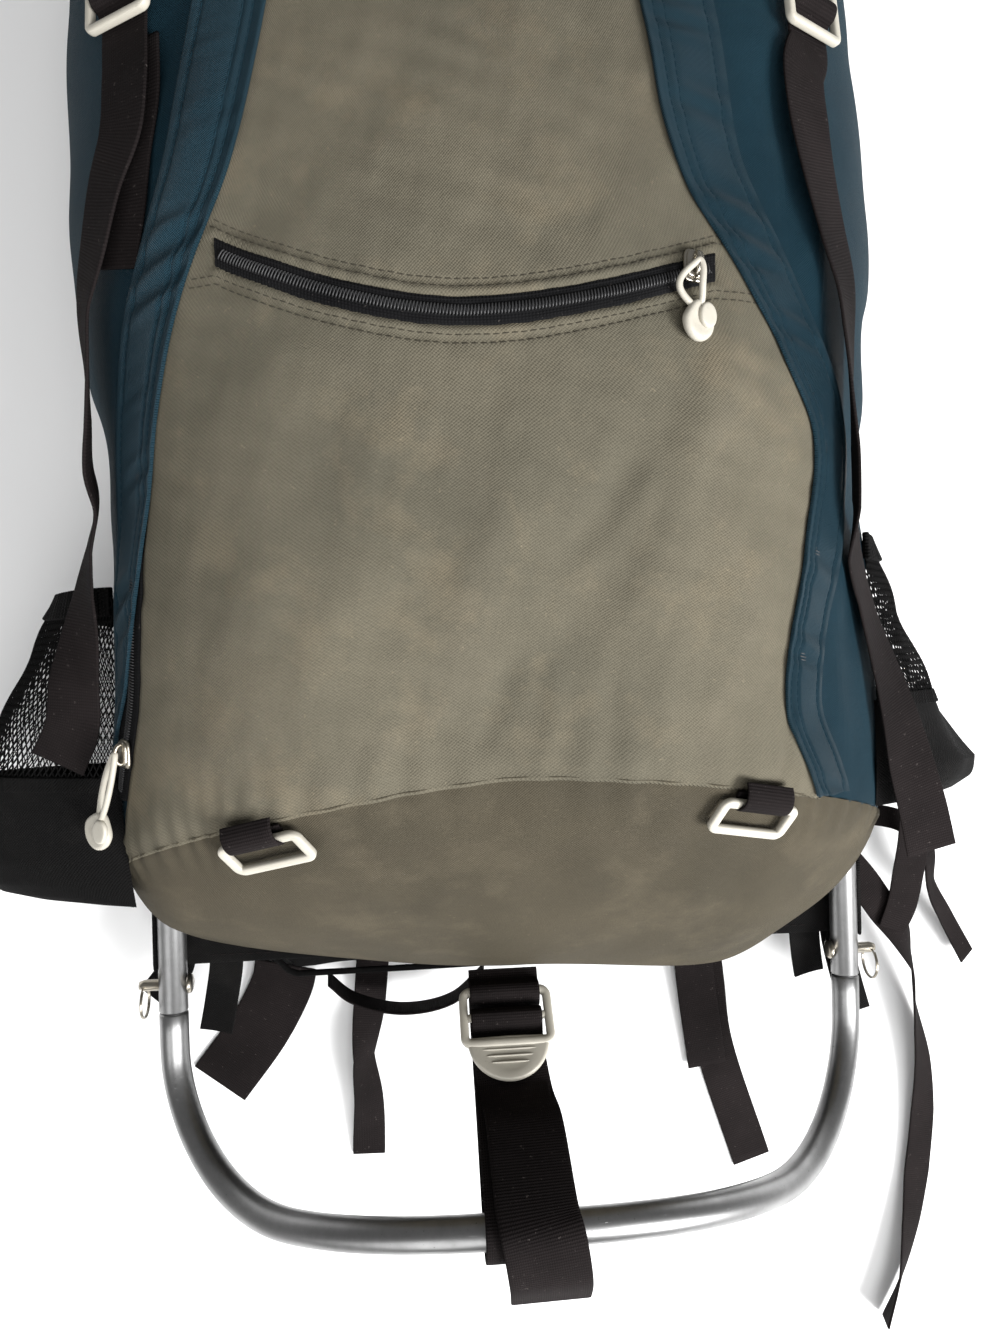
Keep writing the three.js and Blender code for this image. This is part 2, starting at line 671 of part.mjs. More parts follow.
function frontPanel(base) {
  const outline = stripOutline(
    -CUT_BELOW,
    PANEL_TOP,
    (y) => edgeX(y, "left"),
    (y) => edgeX(y, "right"),
  );
  const line = seamLine(SEAM / 2);
  const end = line[SEAM_STEPS][1];
  const [side, low] = [BAG_WIDTH, -BAG_WIDTH];
  const below = prism([[-side, low], [side, low], [side, end], ...line.reverse(), [-side, end]], ...CUT);
  return base.intersect(prism(outline, ...CUT)).subtract(below);
}

function bottomPanel(base) {
  const line = seamLine(-SEAM / 2);
  const low = -BAG_WIDTH;
  return base.intersect(prism([[line[0][0], low], [line[SEAM_STEPS][0], low], ...line.reverse()], ...CUT));
}

function stormFlap(base, hand, side) {
  const inner = (y) => edgeX(y, hand, side * column(FLAP_INNER, "at", y / BAG_LENGTH, hand));
  const outer = (y) => edgeX(y, hand, side * column(FLAP_WIDTHS, "at", y / BAG_LENGTH, hand));
  return base.intersect(prism(stripOutline(FLAP_FOOT[hand] * BAG_LENGTH, PANEL_TOP, inner, outer), ...CUT));
}

// Where the storm flaps end, as shares of BAG_LENGTH.
const FLAP_FOOT = { left: 0.223, right: 0.178 };
const ZIP_FOOT = 0.2; // where the side zips end
const SIDE_ZIP = 7; // width of a side zip as seen from above

// The zip along the grey panel's edge, in the same layer as the panel.
function sideZip(base, hand, side) {
  const inner = (y) => edgeX(y, hand, side * SEAM);
  const outer = (y) => edgeX(y, hand, side * (SEAM + SIDE_ZIP));
  return base.intersect(prism(stripOutline(ZIP_FOOT * BAG_LENGTH, PANEL_TOP, inner, outer), ...CUT));
}

// The slash pocket's zip over the grey panel: a hollow curve, lowest near its middle.
const ZIP_LEFT = -127;
const ZIP_RIGHT = 66;
const ZIP_HEIGHT = 337;
const ZIP_SAG = 24;
const ZIP_TAPE = 11;

const zipLine = (x) => {
  const t = (x - ZIP_LEFT) / (ZIP_RIGHT - ZIP_LEFT);
  return ZIP_HEIGHT - ZIP_SAG * Math.sin(Math.PI * t ** 0.9) - 6 * t;
};

function pocketZip(base) {
  const xs = Array.from({ length: 11 }, (_, i) => ZIP_LEFT + ((ZIP_RIGHT - ZIP_LEFT) * i) / 10);
  const outline = [
    ...xs.map((x) => [x, zipLine(x) - ZIP_TAPE / 2]),
    ...xs.slice().reverse().map((x) => [x, zipLine(x) + ZIP_TAPE / 2]),
  ];
  return base.intersect(prism(outline, BAG_DEPTH / 2, 2 * BAG_DEPTH));
}

// The places and directions on the bag that small pieces are set by.
function bagSeat(across, along, lift) {
  const step = 0.01;
  const place = bagPoint(across, along, 0);
  const side = bagPoint(across + step, along, 0).sub(bagPoint(across - step, along, 0)).normalize();
  const up = bagPoint(across, along + 5, 0).sub(bagPoint(across, along - 5, 0)).normalize();
  const face = side.clone().cross(up).normalize();
  return { at: place.addScaledVector(face, lift), face, up, side };
}

// The share round the bag's girth at which the cloth is at a place across.
function acrossAtX(x, along) {
  let [low, high] = [-1, 1];
  for (let i = 0; i < 40; i += 1) {
    const middle = (low + high) / 2;
    if (bagPoint(middle, along).x < x) low = middle;
    else high = middle;
  }
  return (low + high) / 2;
}

// A matrix that lays a flat piece at a place: its Y along one direction and its Z along its face.
function lay(place, along, face) {
  const z = face.clone().normalize();
  const y = along.clone().addScaledVector(z, -along.dot(z)).normalize();
  return new THREE.Matrix4().makeBasis(y.clone().cross(z), y, z).setPosition(place);
}

// A rectangle with round corners, for outlines and holes.
function roundedBox(path, width, low, high, radius) {
  const x = width / 2 - radius;
  path.absarc(x, high - radius, radius, 0, Math.PI / 2);
  path.absarc(-x, high - radius, radius, Math.PI / 2, Math.PI);
  path.absarc(-x, low + radius, radius, Math.PI, Math.PI * 1.5);
  path.absarc(x, low + radius, radius, Math.PI * 1.5, Math.PI * 2);
  return path;
}

// A flat plate with holes, its middle plane on Z = 0.
function plate(outline, holes, depth, corner = 2) {
  outline.holes.push(...holes);
  const geometry = new THREE.ExtrudeGeometry(outline, { depth, bevelEnabled: false, curveSegments: corner });
  return geometry.translate(0, 0, -depth / 2);
}

// Side pockets. Rows go from the foot to the mouth: up is a share of the height, left and right are the
// two pockets' bulges as shares of their reach.
const POCKET_FOOT_ROWS = [
  { up: 0.0, left: 0.0, right: 0.0 },
  { up: 0.02, left: 0.7, right: 0.7 },
  { up: 0.15, left: 0.96, right: 0.98 },
  { up: 0.41, left: 0.85, right: 0.56 },
];
const POCKET_MESH_ROWS = [
  { up: 0.4135, left: 0.85, right: 0.56 },
  { up: 0.62, left: 0.66, right: 0.39 },
  { up: 0.82, left: 0.47, right: 0.22 },
  { up: 1.0, left: 0.32, right: 0.07 },
];

// The two pockets: foot is a share of BAG_LENGTH, tall of POCKET_HEIGHT and reach of POCKET_BULGE.
// lift is from the shell to the pocket's edges, in layers of cloth.
const POCKETS = {
  left: { foot: 0.108, tall: 0.925, reach: 1.0, lift: 1.6 },
  right: { foot: 0.155, tall: 0.81, reach: 0.68, lift: 1.2 },
};
const POCKET_BACK = 0.97; // share round the bag of the pocket's back edge
const POCKET_FRONT = 0.66;
const POCKET_COLUMNS = 7;

// A point of a pocket: turn runs from 0 at its left edge to 1 at its right edge.
function pocketPoint(side, hand, turn, up, bulge) {
  const { foot, tall, reach, lift } = POCKETS[hand];
  const edges = side < 0 ? [-POCKET_BACK, -POCKET_FRONT] : [POCKET_FRONT, POCKET_BACK];
  const across = edges[0] + (edges[1] - edges[0]) * turn;
  const along = foot * BAG_LENGTH + tall * POCKET_HEIGHT * up;
  const out = reach * POCKET_BULGE * bulge * Math.max(0, Math.sin(Math.PI * turn)) ** 0.55;
  return bagPoint(across, along, lift * PANEL).add(V(side * out, 0, -0.15 * out));
}

function pocket(side, hand, rows) {
  const turns = Array.from({ length: POCKET_COLUMNS + 1 }, (_, i) => i / POCKET_COLUMNS);
  const grid = rows.map((row) => turns.map((turn) => pocketPoint(side, hand, turn, row.up, row[hand])));
  return sheet(grid, POCKET_CLOTH);
}

// A ladder lock for narrow webbing: a frame with a middle bar, lying at a seat on the bag.
const LOCK = 34; // outer width of the small ladder locks
const LOCK_DEPTH = 3;
const LOCK_HALF = 14;
const LOCK_BAR = 1.75; // half the width of the middle bar
const LOCK_LIFT = 7.5; // from the shell's cloth to the lock's middle plane

function sideLock(seat) {
  const outline = roundedBox(new THREE.Shape(), LOCK, -LOCK_HALF, LOCK_HALF, 3);
  const slot = LOCK - 6;
  const low = roundedBox(new THREE.Path(), slot, -LOCK_HALF + 3, -LOCK_BAR, 1);
  const high = roundedBox(new THREE.Path(), slot, LOCK_BAR, LOCK_HALF - 3, 1);
  return solidOf(plate(outline, [low, high], LOCK_DEPTH), lay(seat.at, seat.up, seat.face));
}

// The side straps run down the bag. up is a share of BAG_LENGTH, lift is beyond the shell, in webbing widths.
const SIDE_STRAPS = {
  left: [
    { across: -0.41, up: 0.675, lift: 0.2 },
    { across: -0.42, up: 0.64, lift: 0.2 },
    { across: -0.455, up: 0.61, lift: 0.22 },
    { across: -0.49, up: 0.575, lift: 0.24 },
    { across: -0.54, up: 0.54, lift: 0.24 },
    { across: -0.56, up: 0.5, lift: 0.24 },
    { across: -0.58, up: 0.465, lift: 0.24 },
    { across: -0.6, up: 0.435, lift: 0.24 },
  ],
  right: [
    { across: 0.39, up: 0.675, lift: 0.2 },
    { across: 0.392, up: 0.64, lift: 0.2 },
    { across: 0.403, up: 0.607, lift: 0.2 },
    { across: 0.425, up: 0.57, lift: 0.22 },
    { across: 0.46, up: 0.535, lift: 0.24 },
    { across: 0.476, up: 0.5, lift: 0.24 },
    { across: 0.486, up: 0.465, lift: 0.24 },
    { across: 0.498, up: 0.425, lift: 0.24 },
    { across: 0.5, up: 0.385, lift: 0.24 },
  ],
};

// Where they leave the bag and hang over the pockets. x is a share of HALF_FRAME, y of BAG_LENGTH and
// z of BAG_DEPTH. turn is in degrees from facing up.
const STRAP_ENDS = {
  left: [
    { x: -0.973, y: 0.402, z: 0.69, turn: -60 },
    { x: -0.997, y: 0.372, z: 0.668, turn: -52 },
    { x: -1.017, y: 0.341, z: 0.65, turn: -42 },
    { x: -1.032, y: 0.31, z: 0.64, turn: -30 },
    { x: -1.05, y: 0.278, z: 0.63, turn: -16 },
    { x: -1.062, y: 0.246, z: 0.615, turn: -6 },
    { x: -1.102, y: 0.22, z: 0.595, turn: 0 },
  ],
  right: [
    { x: 0.72, y: 0.362, z: 0.768, turn: 52 },
    { x: 0.768, y: 0.332, z: 0.7, turn: 56 },
    { x: 0.81, y: 0.3, z: 0.665, turn: 50 },
    { x: 0.855, y: 0.266, z: 0.64, turn: 38 },
    { x: 0.893, y: 0.233, z: 0.62, turn: 24 },
    { x: 0.929, y: 0.198, z: 0.597, turn: 8 },
    { x: 0.968, y: 0.162, z: 0.573, turn: 0 },
    { x: 1.003, y: 0.126, z: 0.545, turn: -5 },
  ],
};

// The layer of the left side strap that is sewn to the bag and goes up to its lock.
const ANCHOR_STRAP = [
  { across: -0.402, up: 0.7 },
  { across: -0.402, up: 0.66 },
  { across: -0.42, up: 0.625 },
  { across: -0.436, up: 0.59 },
  { across: -0.452, up: 0.57 },
  { across: -0.463, up: 0.556 },
];
const LOCK_AT = {
  left: { across: -0.415, up: 0.731 },
  right: { across: 0.415, up: 0.724 },
};

// The strap's run through its lock, as places along and above the seat.
const LOCK_RUN = [
  { along: 4.3, lift: -1.2 },
  { along: 3.5, lift: 1.6 },
  { along: 0.0, lift: 3.4 },
  { along: -3.5, lift: 1.6 },
  { along: -5.0, lift: -1.5 },
  { along: -9.5, lift: -3.6 },
  { along: -18, lift: -3.8 },
];

// The short webbing from the lid down into the lock's upper slot.
const TAB_RUN = [
  { along: 9.2, lift: -3.2 },
  { along: 9.2, lift: 0.6 },
  { along: 10.6, lift: 2.9 },
  { along: 13.6, lift: 3.4 },
  { along: 17.0, lift: 1.8 },
  { along: 25, lift: -3.4 },
];

const lockSeat = (hand) => bagSeat(LOCK_AT[hand].across, LOCK_AT[hand].up * BAG_LENGTH, LOCK_LIFT);

const runPoints = (seat, run) =>
  run.map(({ along, lift }) => ({
    at: seat.at.clone().addScaledVector(seat.up, along).addScaledVector(seat.face, lift),
    face: seat.face,
  }));

function sideStrap(hand) {
  const seat = lockSeat(hand);
  const seatAt = ({ across, up, lift }) => bagSeat(across, up * BAG_LENGTH, lift * MIDDLE_WEB);
  const below = SIDE_STRAPS[hand].map(seatAt);
  const loose = STRAP_ENDS[hand].map(({ x, y, z, turn }) => ({
    at: V(x * HALF_FRAME, y * BAG_LENGTH, z * BAG_DEPTH),
    face: turned(turn),
  }));
  return strap([...runPoints(seat, LOCK_RUN), ...below, ...loose], MIDDLE_WEB, WEB, 1);
}

const anchorStrap = () =>
  strap(ANCHOR_STRAP.map(({ across, up }) => bagSeat(across, up * BAG_LENGTH, WEB / 2 + GAP)), MIDDLE_WEB, WEB, 1);

function lidTab(hand) {
  const seat = lockSeat(hand);
  const { across } = LOCK_AT[hand];
  const up = [0.86, 0.895].map((share) => bagSeat(across, share * BAG_LENGTH, WEB / 2 + GAP));
  return strap([...runPoints(seat, TAB_RUN), ...up], MIDDLE_WEB, WEB, 2);
}

// Lash loops under the bottom seam: a plastic ring in a fold of webbing.
const LASH_RING = 42;
const LASH_TALL = 24;
const LASH_BAR = 4;
const LASH_AT = { left: -124, right: 92 };
const LASH_DROP = 18; // from the seam to the ring's middle
const LASH_LIFT = 5.6;

function lashSeat(hand) {
  const across = acrossAtX(LASH_AT[hand], SEAM_HEIGHT * 0.9);
  const top = bottomPoint(across, 0.0, 0);
  const low = bottomPoint(across, 0.3, 0);
  const up = top.clone().sub(low).normalize();
  const side = bottomPoint(across + 0.02, 0.1, 0).sub(bottomPoint(across - 0.02, 0.1, 0)).normalize();
  const face = side.clone().cross(up).normalize();
  return { at: top.clone().addScaledVector(face, LASH_LIFT), up, face, side };
}

function lashRing(hand) {
  const seat = lashSeat(hand);
  const half = LASH_TALL / 2;
  const outline = roundedBox(new THREE.Shape(), LASH_RING, -half, half, 4);
  const hole = roundedBox(new THREE.Path(), LASH_RING - 2 * LASH_BAR, -half + LASH_BAR, half - LASH_BAR, 2);
  const place = seat.at.clone().addScaledVector(seat.up, -LASH_DROP);
  return solidOf(plate(outline, [hole], LASH_BAR), lay(place, seat.up, seat.face));
}

const LASH_RUN = [
  { along: 3, lift: -2.6 },
  { along: -1, lift: 1.2 },
  { along: -6, lift: 3.4 },
  { along: -10.5, lift: 3.2 },
  { along: -13.2, lift: 0.3 },
  { along: -10.5, lift: -3.0 },
  { along: -6, lift: -3.4 },
];

const lashWebbing = (hand) => strap(runPoints(lashSeat(hand), LASH_RUN), MIDDLE_WEB, WEB, 2);

// The centre strap ties the bag's foot to the hoop. Its plane is given by along, towards the bag, and lift.
const CENTRE_X = -12;
const CENTRE_BELOW = 17; // from the pins down to the centre lock
const CENTRE_OUT = 50; // from the frame's plane out to it
const CENTRE_AT = V(CENTRE_X, -CENTRE_BELOW, CENTRE_OUT);
const hoopMiddle = () => hoopPoint(CENTRE_X, -HOOP_DROP);

function centreSeat() {
  const hem = hemPoint(0, 0);
  const up = hem.clone().sub(hoopMiddle()).setX(0).normalize();
  const face = V(1, 0, 0).cross(up).normalize();
  return { at: CENTRE_AT, up, face, side: V(1, 0, 0) };
}

const CENTRE_LOCK = 50;
const CENTRE_LOCK_DEPTH = 4;

function centreLock() {
  const seat = centreSeat();
  const outline = new THREE.Shape();
  outline.absarc(CENTRE_LOCK / 2 - 4, 19, 4, 0, Math.PI / 2);
  outline.absarc(-CENTRE_LOCK / 2 + 4, 19, 4, Math.PI / 2, Math.PI);
  outline.lineTo(-CENTRE_LOCK / 2 + 2, -6);
  outline.absarc(0, -6, CENTRE_LOCK / 2 - 3, Math.PI, Math.PI * 2);
  outline.lineTo(CENTRE_LOCK / 2 - 2, -6);
  const slot = CENTRE_LOCK - 9;
  const upper = roundedBox(new THREE.Path(), slot, 8, 18, 1.5);
  const lower = roundedBox(new THREE.Path(), slot, -6, 4, 1.5);
  return solidOf(plate(outline, [upper, lower], CENTRE_LOCK_DEPTH, 3), lay(seat.at, seat.up, seat.face));
}

const CENTRE_ANCHOR_RUN = [
  { along: 13.9, lift: -4.6 },
  { along: 14.6, lift: 0.5 },
  { along: 17.5, lift: 4.0 },
  { along: 22, lift: 4.2 },
  { along: 27, lift: 0.5 },
];

function centreAnchor() {
  const seat = centreSeat();
  const hem = hemPoint(0, PANEL_TOP_LIFT + GAP + WEB / 2);
  const end = { face: seat.face, at: V(CENTRE_X, hem.y, hem.z) };
  return strap([...runPoints(seat, CENTRE_ANCHOR_RUN), end], WIDE_WEB, WEB, 2);
}

// The long webbing: from the bag's back round the hoop, up through the lock and down again as a loose tail.
function centreStrap() {
  const seat = centreSeat();
  const toHoop = hoopMiddle().sub(seat.at);
  const hoop = { along: toHoop.dot(seat.up), lift: toHoop.dot(seat.face) };
  const inner = TUBE_R + GAP + WEB / 2 + HOOP_SLACK;
  const outer = inner + WEB + 1;
  const around = (radius, degrees) => {
    const a = THREE.MathUtils.degToRad(degrees);
    return { along: hoop.along + radius * Math.cos(a), lift: hoop.lift + radius * Math.sin(a) };
  };
  const hemGap = hemPoint(0, WEB).sub(seat.at);
  const run = [
    { along: hemGap.dot(seat.up) - 4, lift: hemGap.dot(seat.face) - 6 },
    { along: 20, lift: -14 },
    { along: -40, lift: hoop.lift - inner + 1 },
    around(inner, 275),
    around(inner, 235),
    around(inner, 195),
    around(inner, 155),
    around(inner, 115),
    around(inner, 82),
    { along: -45, lift: hoop.lift + 2 },
    { along: -20, lift: -7.4 },
    { along: 2, lift: -6.4 },
    { along: 9.6, lift: -3.4 },
    { along: 10.2, lift: 1 },
    { along: 6.6, lift: 3.9 },
    { along: 2.4, lift: 2.2 },
    { along: -2, lift: -2.2 },
    { along: -9, lift: -3.9 },
    { along: -31, lift: -3.9 },
    { along: -50, lift: hoop.lift + 7 },
    around(outer, 80),
    around(outer + 0.5, 120),
    around(outer + 2, 160),
    around(outer + 8, 198),
    around(outer + 24, 236),
  ];
  const points = runPoints(seat, run);
  const tail = points.length - 1 - TAIL_START;
  points.slice(TAIL_START).forEach((p, i) => {
    p.at.x += (CENTRE_SLANT * (i + 1)) / (tail + 1);
  });
  return strap(points, WIDE_WEB, WEB, 2, V(1, 0, 0));
}

const HOOP_SLACK = 2.9; // the strap lies this loose round the curved hoop
const TAIL_START = 18; // the first point of the loose tail in the centre strap's run
const CENTRE_SLANT = 12; // how far the tail's end lies to the right of the lock

// A zip slider with an eye across it.
const SLIDER = { width: 9, length: 13, height: 3.6 };
const EYE = 3.4; // outer radius of the slider's eye
const EYE_HOLE = 1.9;

function slider(seat) {
  const outline = new THREE.Shape();
  outline.absarc(0, EYE, EYE, 0, Math.PI);
  outline.lineTo(-EYE, 0);
  outline.lineTo(EYE, 0);
  const hole = new THREE.Path();
  hole.absarc(0, EYE, EYE_HOLE, 0, Math.PI * 2);
  const stand = new THREE.Matrix4().makeBasis(V(0, 1, 0), V(0, 0, 1), V(1, 0, 0));
  const eye = plate(outline, [hole], 3, 4).applyMatrix4(stand).translate(0, 0, SLIDER.height / 2 - 0.4);
  const body = new THREE.BoxGeometry(SLIDER.width, SLIDER.length, SLIDER.height);
  const place = lay(seat.at, seat.up, seat.face);
  return solidOf(body, place).add(solidOf(eye, place));
}

// A round pull on a loop of thin cord that runs through the slider's eye.
const PULL_RADIUS = 8.5;
const PULL_DEPTH = 5;
const PULL_CORD = 2.2;

// Where each pull lies from its slider: aside, down the cloth and out of it.
const POCKET_PULL = { aside: 1, down: 23, lift: -0.9 };
const SIDE_PULL = { aside: -14, down: 38, lift: 8.4 };

function zipPull(seat, { aside, down, lift }) {
  const eye = SLIDER.height / 2 - 0.4 + EYE;
  const place = lay(seat.at, seat.up, seat.face);
  const [x, y] = [aside, -down];
  const neck = 0.62;
  const loop = new THREE.CatmullRomCurve3(
    [
      V(x - 1.6, y, lift),
      V(x * neck - 3.6, y * neck, lift + 1.6),
      V(-4.4, -5.5, eye - 0.4),
      V(-3.0, -0.9, eye),
      V(0, 0, eye),
      V(3.0, -0.9, eye),
      V(4.4, -5.5, eye - 0.4),
      V(x * neck + 3.6, y * neck, lift + 1.6),
      V(x + 1.6, y, lift),
    ].map((p) => p.applyMatrix4(place)),
  );
  const disc = new THREE.CylinderGeometry(PULL_RADIUS, PULL_RADIUS, PULL_DEPTH, 12);
  disc.rotateX(Math.PI / 2).translate(x, y, lift);
  return sweep(loop.getPoints(16), PULL_CORD / 2, 5).add(solidOf(disc, place));
}

const PANEL_TOP_LIFT = PANEL_LIFT + PANEL;
const ZIP_TOP_LIFT = PANEL_TOP_LIFT + GAP + PANEL;
const FACET_SAG = 1.1; // how far the flat facets of the cloth lie inside its smooth curve

// The slash pocket's slider near the zip's right end.
const POCKET_SLIDER_X = 56;

function pocketSeat() {
  const along = zipLine(POCKET_SLIDER_X);
  return bagSeat(acrossAtX(POCKET_SLIDER_X, along), along, ZIP_TOP_LIFT + GAP + SLIDER.height / 2 - FACET_SAG);
}

// The left side zip's slider, at its lower end.
const SIDE_SLIDER = { across: -0.585, up: 0.236 };

const sideSeat = () =>
  bagSeat(SIDE_SLIDER.across, SIDE_SLIDER.up * BAG_LENGTH, PANEL_TOP_LIFT + SLIDER.height / 2 - 0.6 * FACET_SAG);

// Loose straps. x is a share of HALF_FRAME, y of HOOP_DROP and lift of FRAME_LIFT above the floor.
// turn is in degrees.
const LOOSE_STRAPS = [
  {
    name: "belt_tail_left",
    width: WIDE_WEB,
    route: [
      { x: -0.71, y: -0.047, lift: 0.17, turn: 0 },
      { x: -0.725, y: -0.16, lift: 0.1, turn: 0 },
      { x: -0.8, y: -0.42, lift: 0.025, turn: 0 },
      { x: -0.93, y: -0.73, lift: 0.022, turn: 0 },
    ],
  },
  {
    name: "belt_tail_middle",
    width: NARROW_WEB,
    route: [
      { x: -0.44, y: -0.018, lift: 0.17, turn: 0 },
      { x: -0.455, y: -0.3, lift: 0.1, turn: 10 },
      { x: -0.475, y: -0.6, lift: 0.2, turn: 55 },
      { x: -0.465, y: -0.86, lift: 0.14, turn: 30 },
      { x: -0.47, y: -1.19, lift: 0.022, turn: 0 },
    ],
  },
  {
    name: "belt_tail_right",
    width: MIDDLE_WEB,
    route: [
      { x: 0.62, y: -0.02, lift: 0.1, turn: 0 },
      { x: 0.64, y: -0.3, lift: 0.03, turn: 0 },
      { x: 0.66, y: -0.65, lift: 0.022, turn: 0 },
      { x: 0.78, y: -1.38, lift: 0.022, turn: 0 },
    ],
  },
  {
    name: "belt_tail_right_upper",
    width: MIDDLE_WEB,
    route: [
      { x: 0.58, y: -0.02, lift: 0.25, turn: 0 },
      { x: 0.6, y: -0.3, lift: 0.13, turn: 0 },
      { x: 0.635, y: -0.79, lift: 0.075, turn: 0 },
    ],
  },
  {
    name: "long_tail_right",
    width: NARROW_WEB,
    route: [
      { x: 1.012, y: 0.52, lift: 0.775, turn: 0 },
      { x: 1.092, y: 0.35, lift: 0.76, turn: 0 },
      { x: 1.158, y: 0.18, lift: 0.74, turn: 4 },
      { x: 1.221, y: 0.03, lift: 0.69, turn: 30 },
      { x: 1.279, y: -0.162, lift: 0.52, turn: 68 },
      { x: 1.324, y: -0.509, lift: 0.26, turn: 62 },
      { x: 1.361, y: -0.848, lift: 0.14, turn: 35 },
      { x: 1.363, y: -1.157, lift: 0.09, turn: 18 },
      { x: 1.34, y: -1.521, lift: 0.075, turn: 14 },
      { x: 1.308, y: -1.823, lift: 0.125, turn: 32 },
      { x: 1.261, y: -2.121, lift: 0.19, turn: 58 },
      { x: 1.202, y: -2.369, lift: 0.22, turn: 74 },
    ],
  },
  {
    name: "thin_tail_right",
    width: THIN_WEB,
    route: [
      { x: 1.012, y: 0.7, lift: 0.775, turn: 0 },
      { x: 1.12, y: 0.72, lift: 0.765, turn: 0 },
      { x: 1.24, y: 0.66, lift: 0.74, turn: 10 },
      { x: 1.326, y: 0.49, lift: 0.65, turn: 30 },
      { x: 1.352, y: 0.271, lift: 0.52, turn: 45 },
      { x: 1.425, y: 0.065, lift: 0.33, turn: 30 },
      { x: 1.523, y: -0.211, lift: 0.15, turn: 20 },
    ],
  },
  {
    name: "belt_strap_right",
    width: NARROW_WEB,
    route: [
      { x: 1.184, y: 0.06, lift: 0.765, turn: 14 },
      { x: 1.213, y: 0.195, lift: 0.8, turn: 4 },
      { x: 1.226, y: 0.406, lift: 0.9, turn: 0 },
      { x: 1.227, y: 0.618, lift: 1.04, turn: 0 },
      { x: 1.216, y: 0.85, lift: 1.17, turn: 0 },
    ],
  },
];

// A long route has points enough, so its webbing needs no more between them.
const looseStrap = ({ width, route }) =>
  strap(
    route.map(({ x, y, lift, turn }) => ({
      at: V(x * HALF_FRAME, y * HOOP_DROP, FLOOR + lift * FRAME_LIFT),
      face: turned(turn),
    })),
    width,
    WEB,
    route.length > 5 ? 1 : 2,
  );

// A slack band of webbing that stands on its edge under the bag's hem.
const SLACK_BAND = [
  { x: -0.57, y: -0.085, lift: 0.56 },
  { x: -0.5, y: -0.2, lift: 0.52 },
  { x: -0.35, y: -0.28, lift: 0.5 },
  { x: -0.2, y: -0.24, lift: 0.5 },
  { x: -0.1, y: -0.085, lift: 0.56 },
];

const slackBand = () =>
  strap(
    SLACK_BAND.map(({ x, y, lift }) => ({ at: V(x * HALF_FRAME, y * HOOP_DROP, FLOOR + lift * FRAME_LIFT) })),
    NARROW_WEB,
    WEB,
    3,
    UP,
  );

// Small tabs of folded cloth at the lower corners, held by the base band.
const CORNER_TABS = [
  { name: "corner_tab_left_inner", x: -0.86, endX: -0.905, drop: 0.4 },
  { name: "corner_tab_left_outer", x: -1.0, endX: -1.085, drop: 0.2 },
  { name: "corner_tab_right_inner", x: 0.9, endX: 0.93, drop: 0.26 },
  { name: "corner_tab_right_outer", x: 1.0, endX: 1.08, drop: 0.5 },
];
const TAB_CLOTH = 2.4;
const TAB_WIDTH = 19;

function cornerTab({ x, endX, drop }) {
  const high = -(TUBE_R + GAP + BAND + 1.6 * GAP + TAB_CLOTH / 2);
  const reach = drop * HOOP_DROP;
  const middle = (x + endX) / 2;
  return strap(
    [
      flat(x * HALF_FRAME, BASE_BAND.low + TAB_WIDTH, high),
      flat(x * HALF_FRAME, BASE_BAND.low, high),
      flat(middle * HALF_FRAME, BASE_BAND.low - reach * 0.55, high - 5),
      flat(endX * HALF_FRAME, BASE_BAND.low - reach, high - 9),
    ],
    TAB_WIDTH,
    TAB_CLOTH,
    2,
  );
}

// Bands stretched across the frame, from round one side tube to round the other.
const BASE_BAND = { low: 8, high: 78 };
const BACK_BAND = { low: 250, high: 396 };
const HOOK_DEGREES = 100; // how far round each tube a band reaches, from underneath

function bandAcross({ low, high }) {
  const inner = TUBE_R + GAP;
  const outer = inner + BAND;
  const hook = (radius, side) =>
    Array.from({ length: 6 }, (_, i) => {
      const a = THREE.MathUtils.degToRad((HOOK_DEGREES * i) / 5);
      return new THREE.Vector2(side * (HALF_FRAME + radius * Math.sin(a)), -radius * Math.cos(a));
    });
  const outline = [
    ...hook(outer, -1).reverse(),
    ...hook(outer, 1),
    ...hook(inner, 1).reverse(),
    ...hook(inner, -1),
  ];
  const shape = new THREE.Shape(outline);
  const geometry = new THREE.ExtrudeGeometry(shape, { depth: high - low, bevelEnabled: false });
  geometry.rotateX(Math.PI / 2).translate(0, high, 0);
  return solidOf(geometry);
}

// A pad cut to an outline, with rounded edges.
function pad(points, low, high, round) {
  const shape = new THREE.Shape(points.map(([x, y]) => new THREE.Vector2(x, y)));
  const geometry = new THREE.ExtrudeGeometry(shape, {
    depth: high - low - 2 * round,
    bevelThickness: round,
    bevelSize: round,
    bevelOffset: -round,
    bevelSegments: 2,
  });
  return solidOf(geometry.translate(0, 0, low + round));
}

const BELT_GAP = 48; // between the wings, where the buckle is
const BELT_REACH = 0.9; // share of HALF_FRAME that each wing reaches
const LUMBAR_REACH = 0.76;
const LUMBAR_DROP = 8;
const BELT_TAPER = 0.3; // share of a wing's length that narrows towards the buckle
const BELT_TIP = 0.62; // width of the wings at the buckle, as a share of PAD_HEIGHT

function beltWing(side) {
  const [near, far] = [BELT_GAP / 2, BELT_REACH * HALF_FRAME];
  const tip = (PAD_HEIGHT * (1 - BELT_TIP)) / 2;
  const points = [
    [near, tip],
    [near + (far - near) * BELT_TAPER, 0],
    [far, 0],
    [far, PAD_HEIGHT],
    [near + (far - near) * BELT_TAPER, PAD_HEIGHT],
    [near, PAD_HEIGHT - tip],
  ].map(([x, y]) => [side * x, y]);
  return pad(side < 0 ? points.reverse() : points, FLOOR, FLOOR + PAD, 4);
}

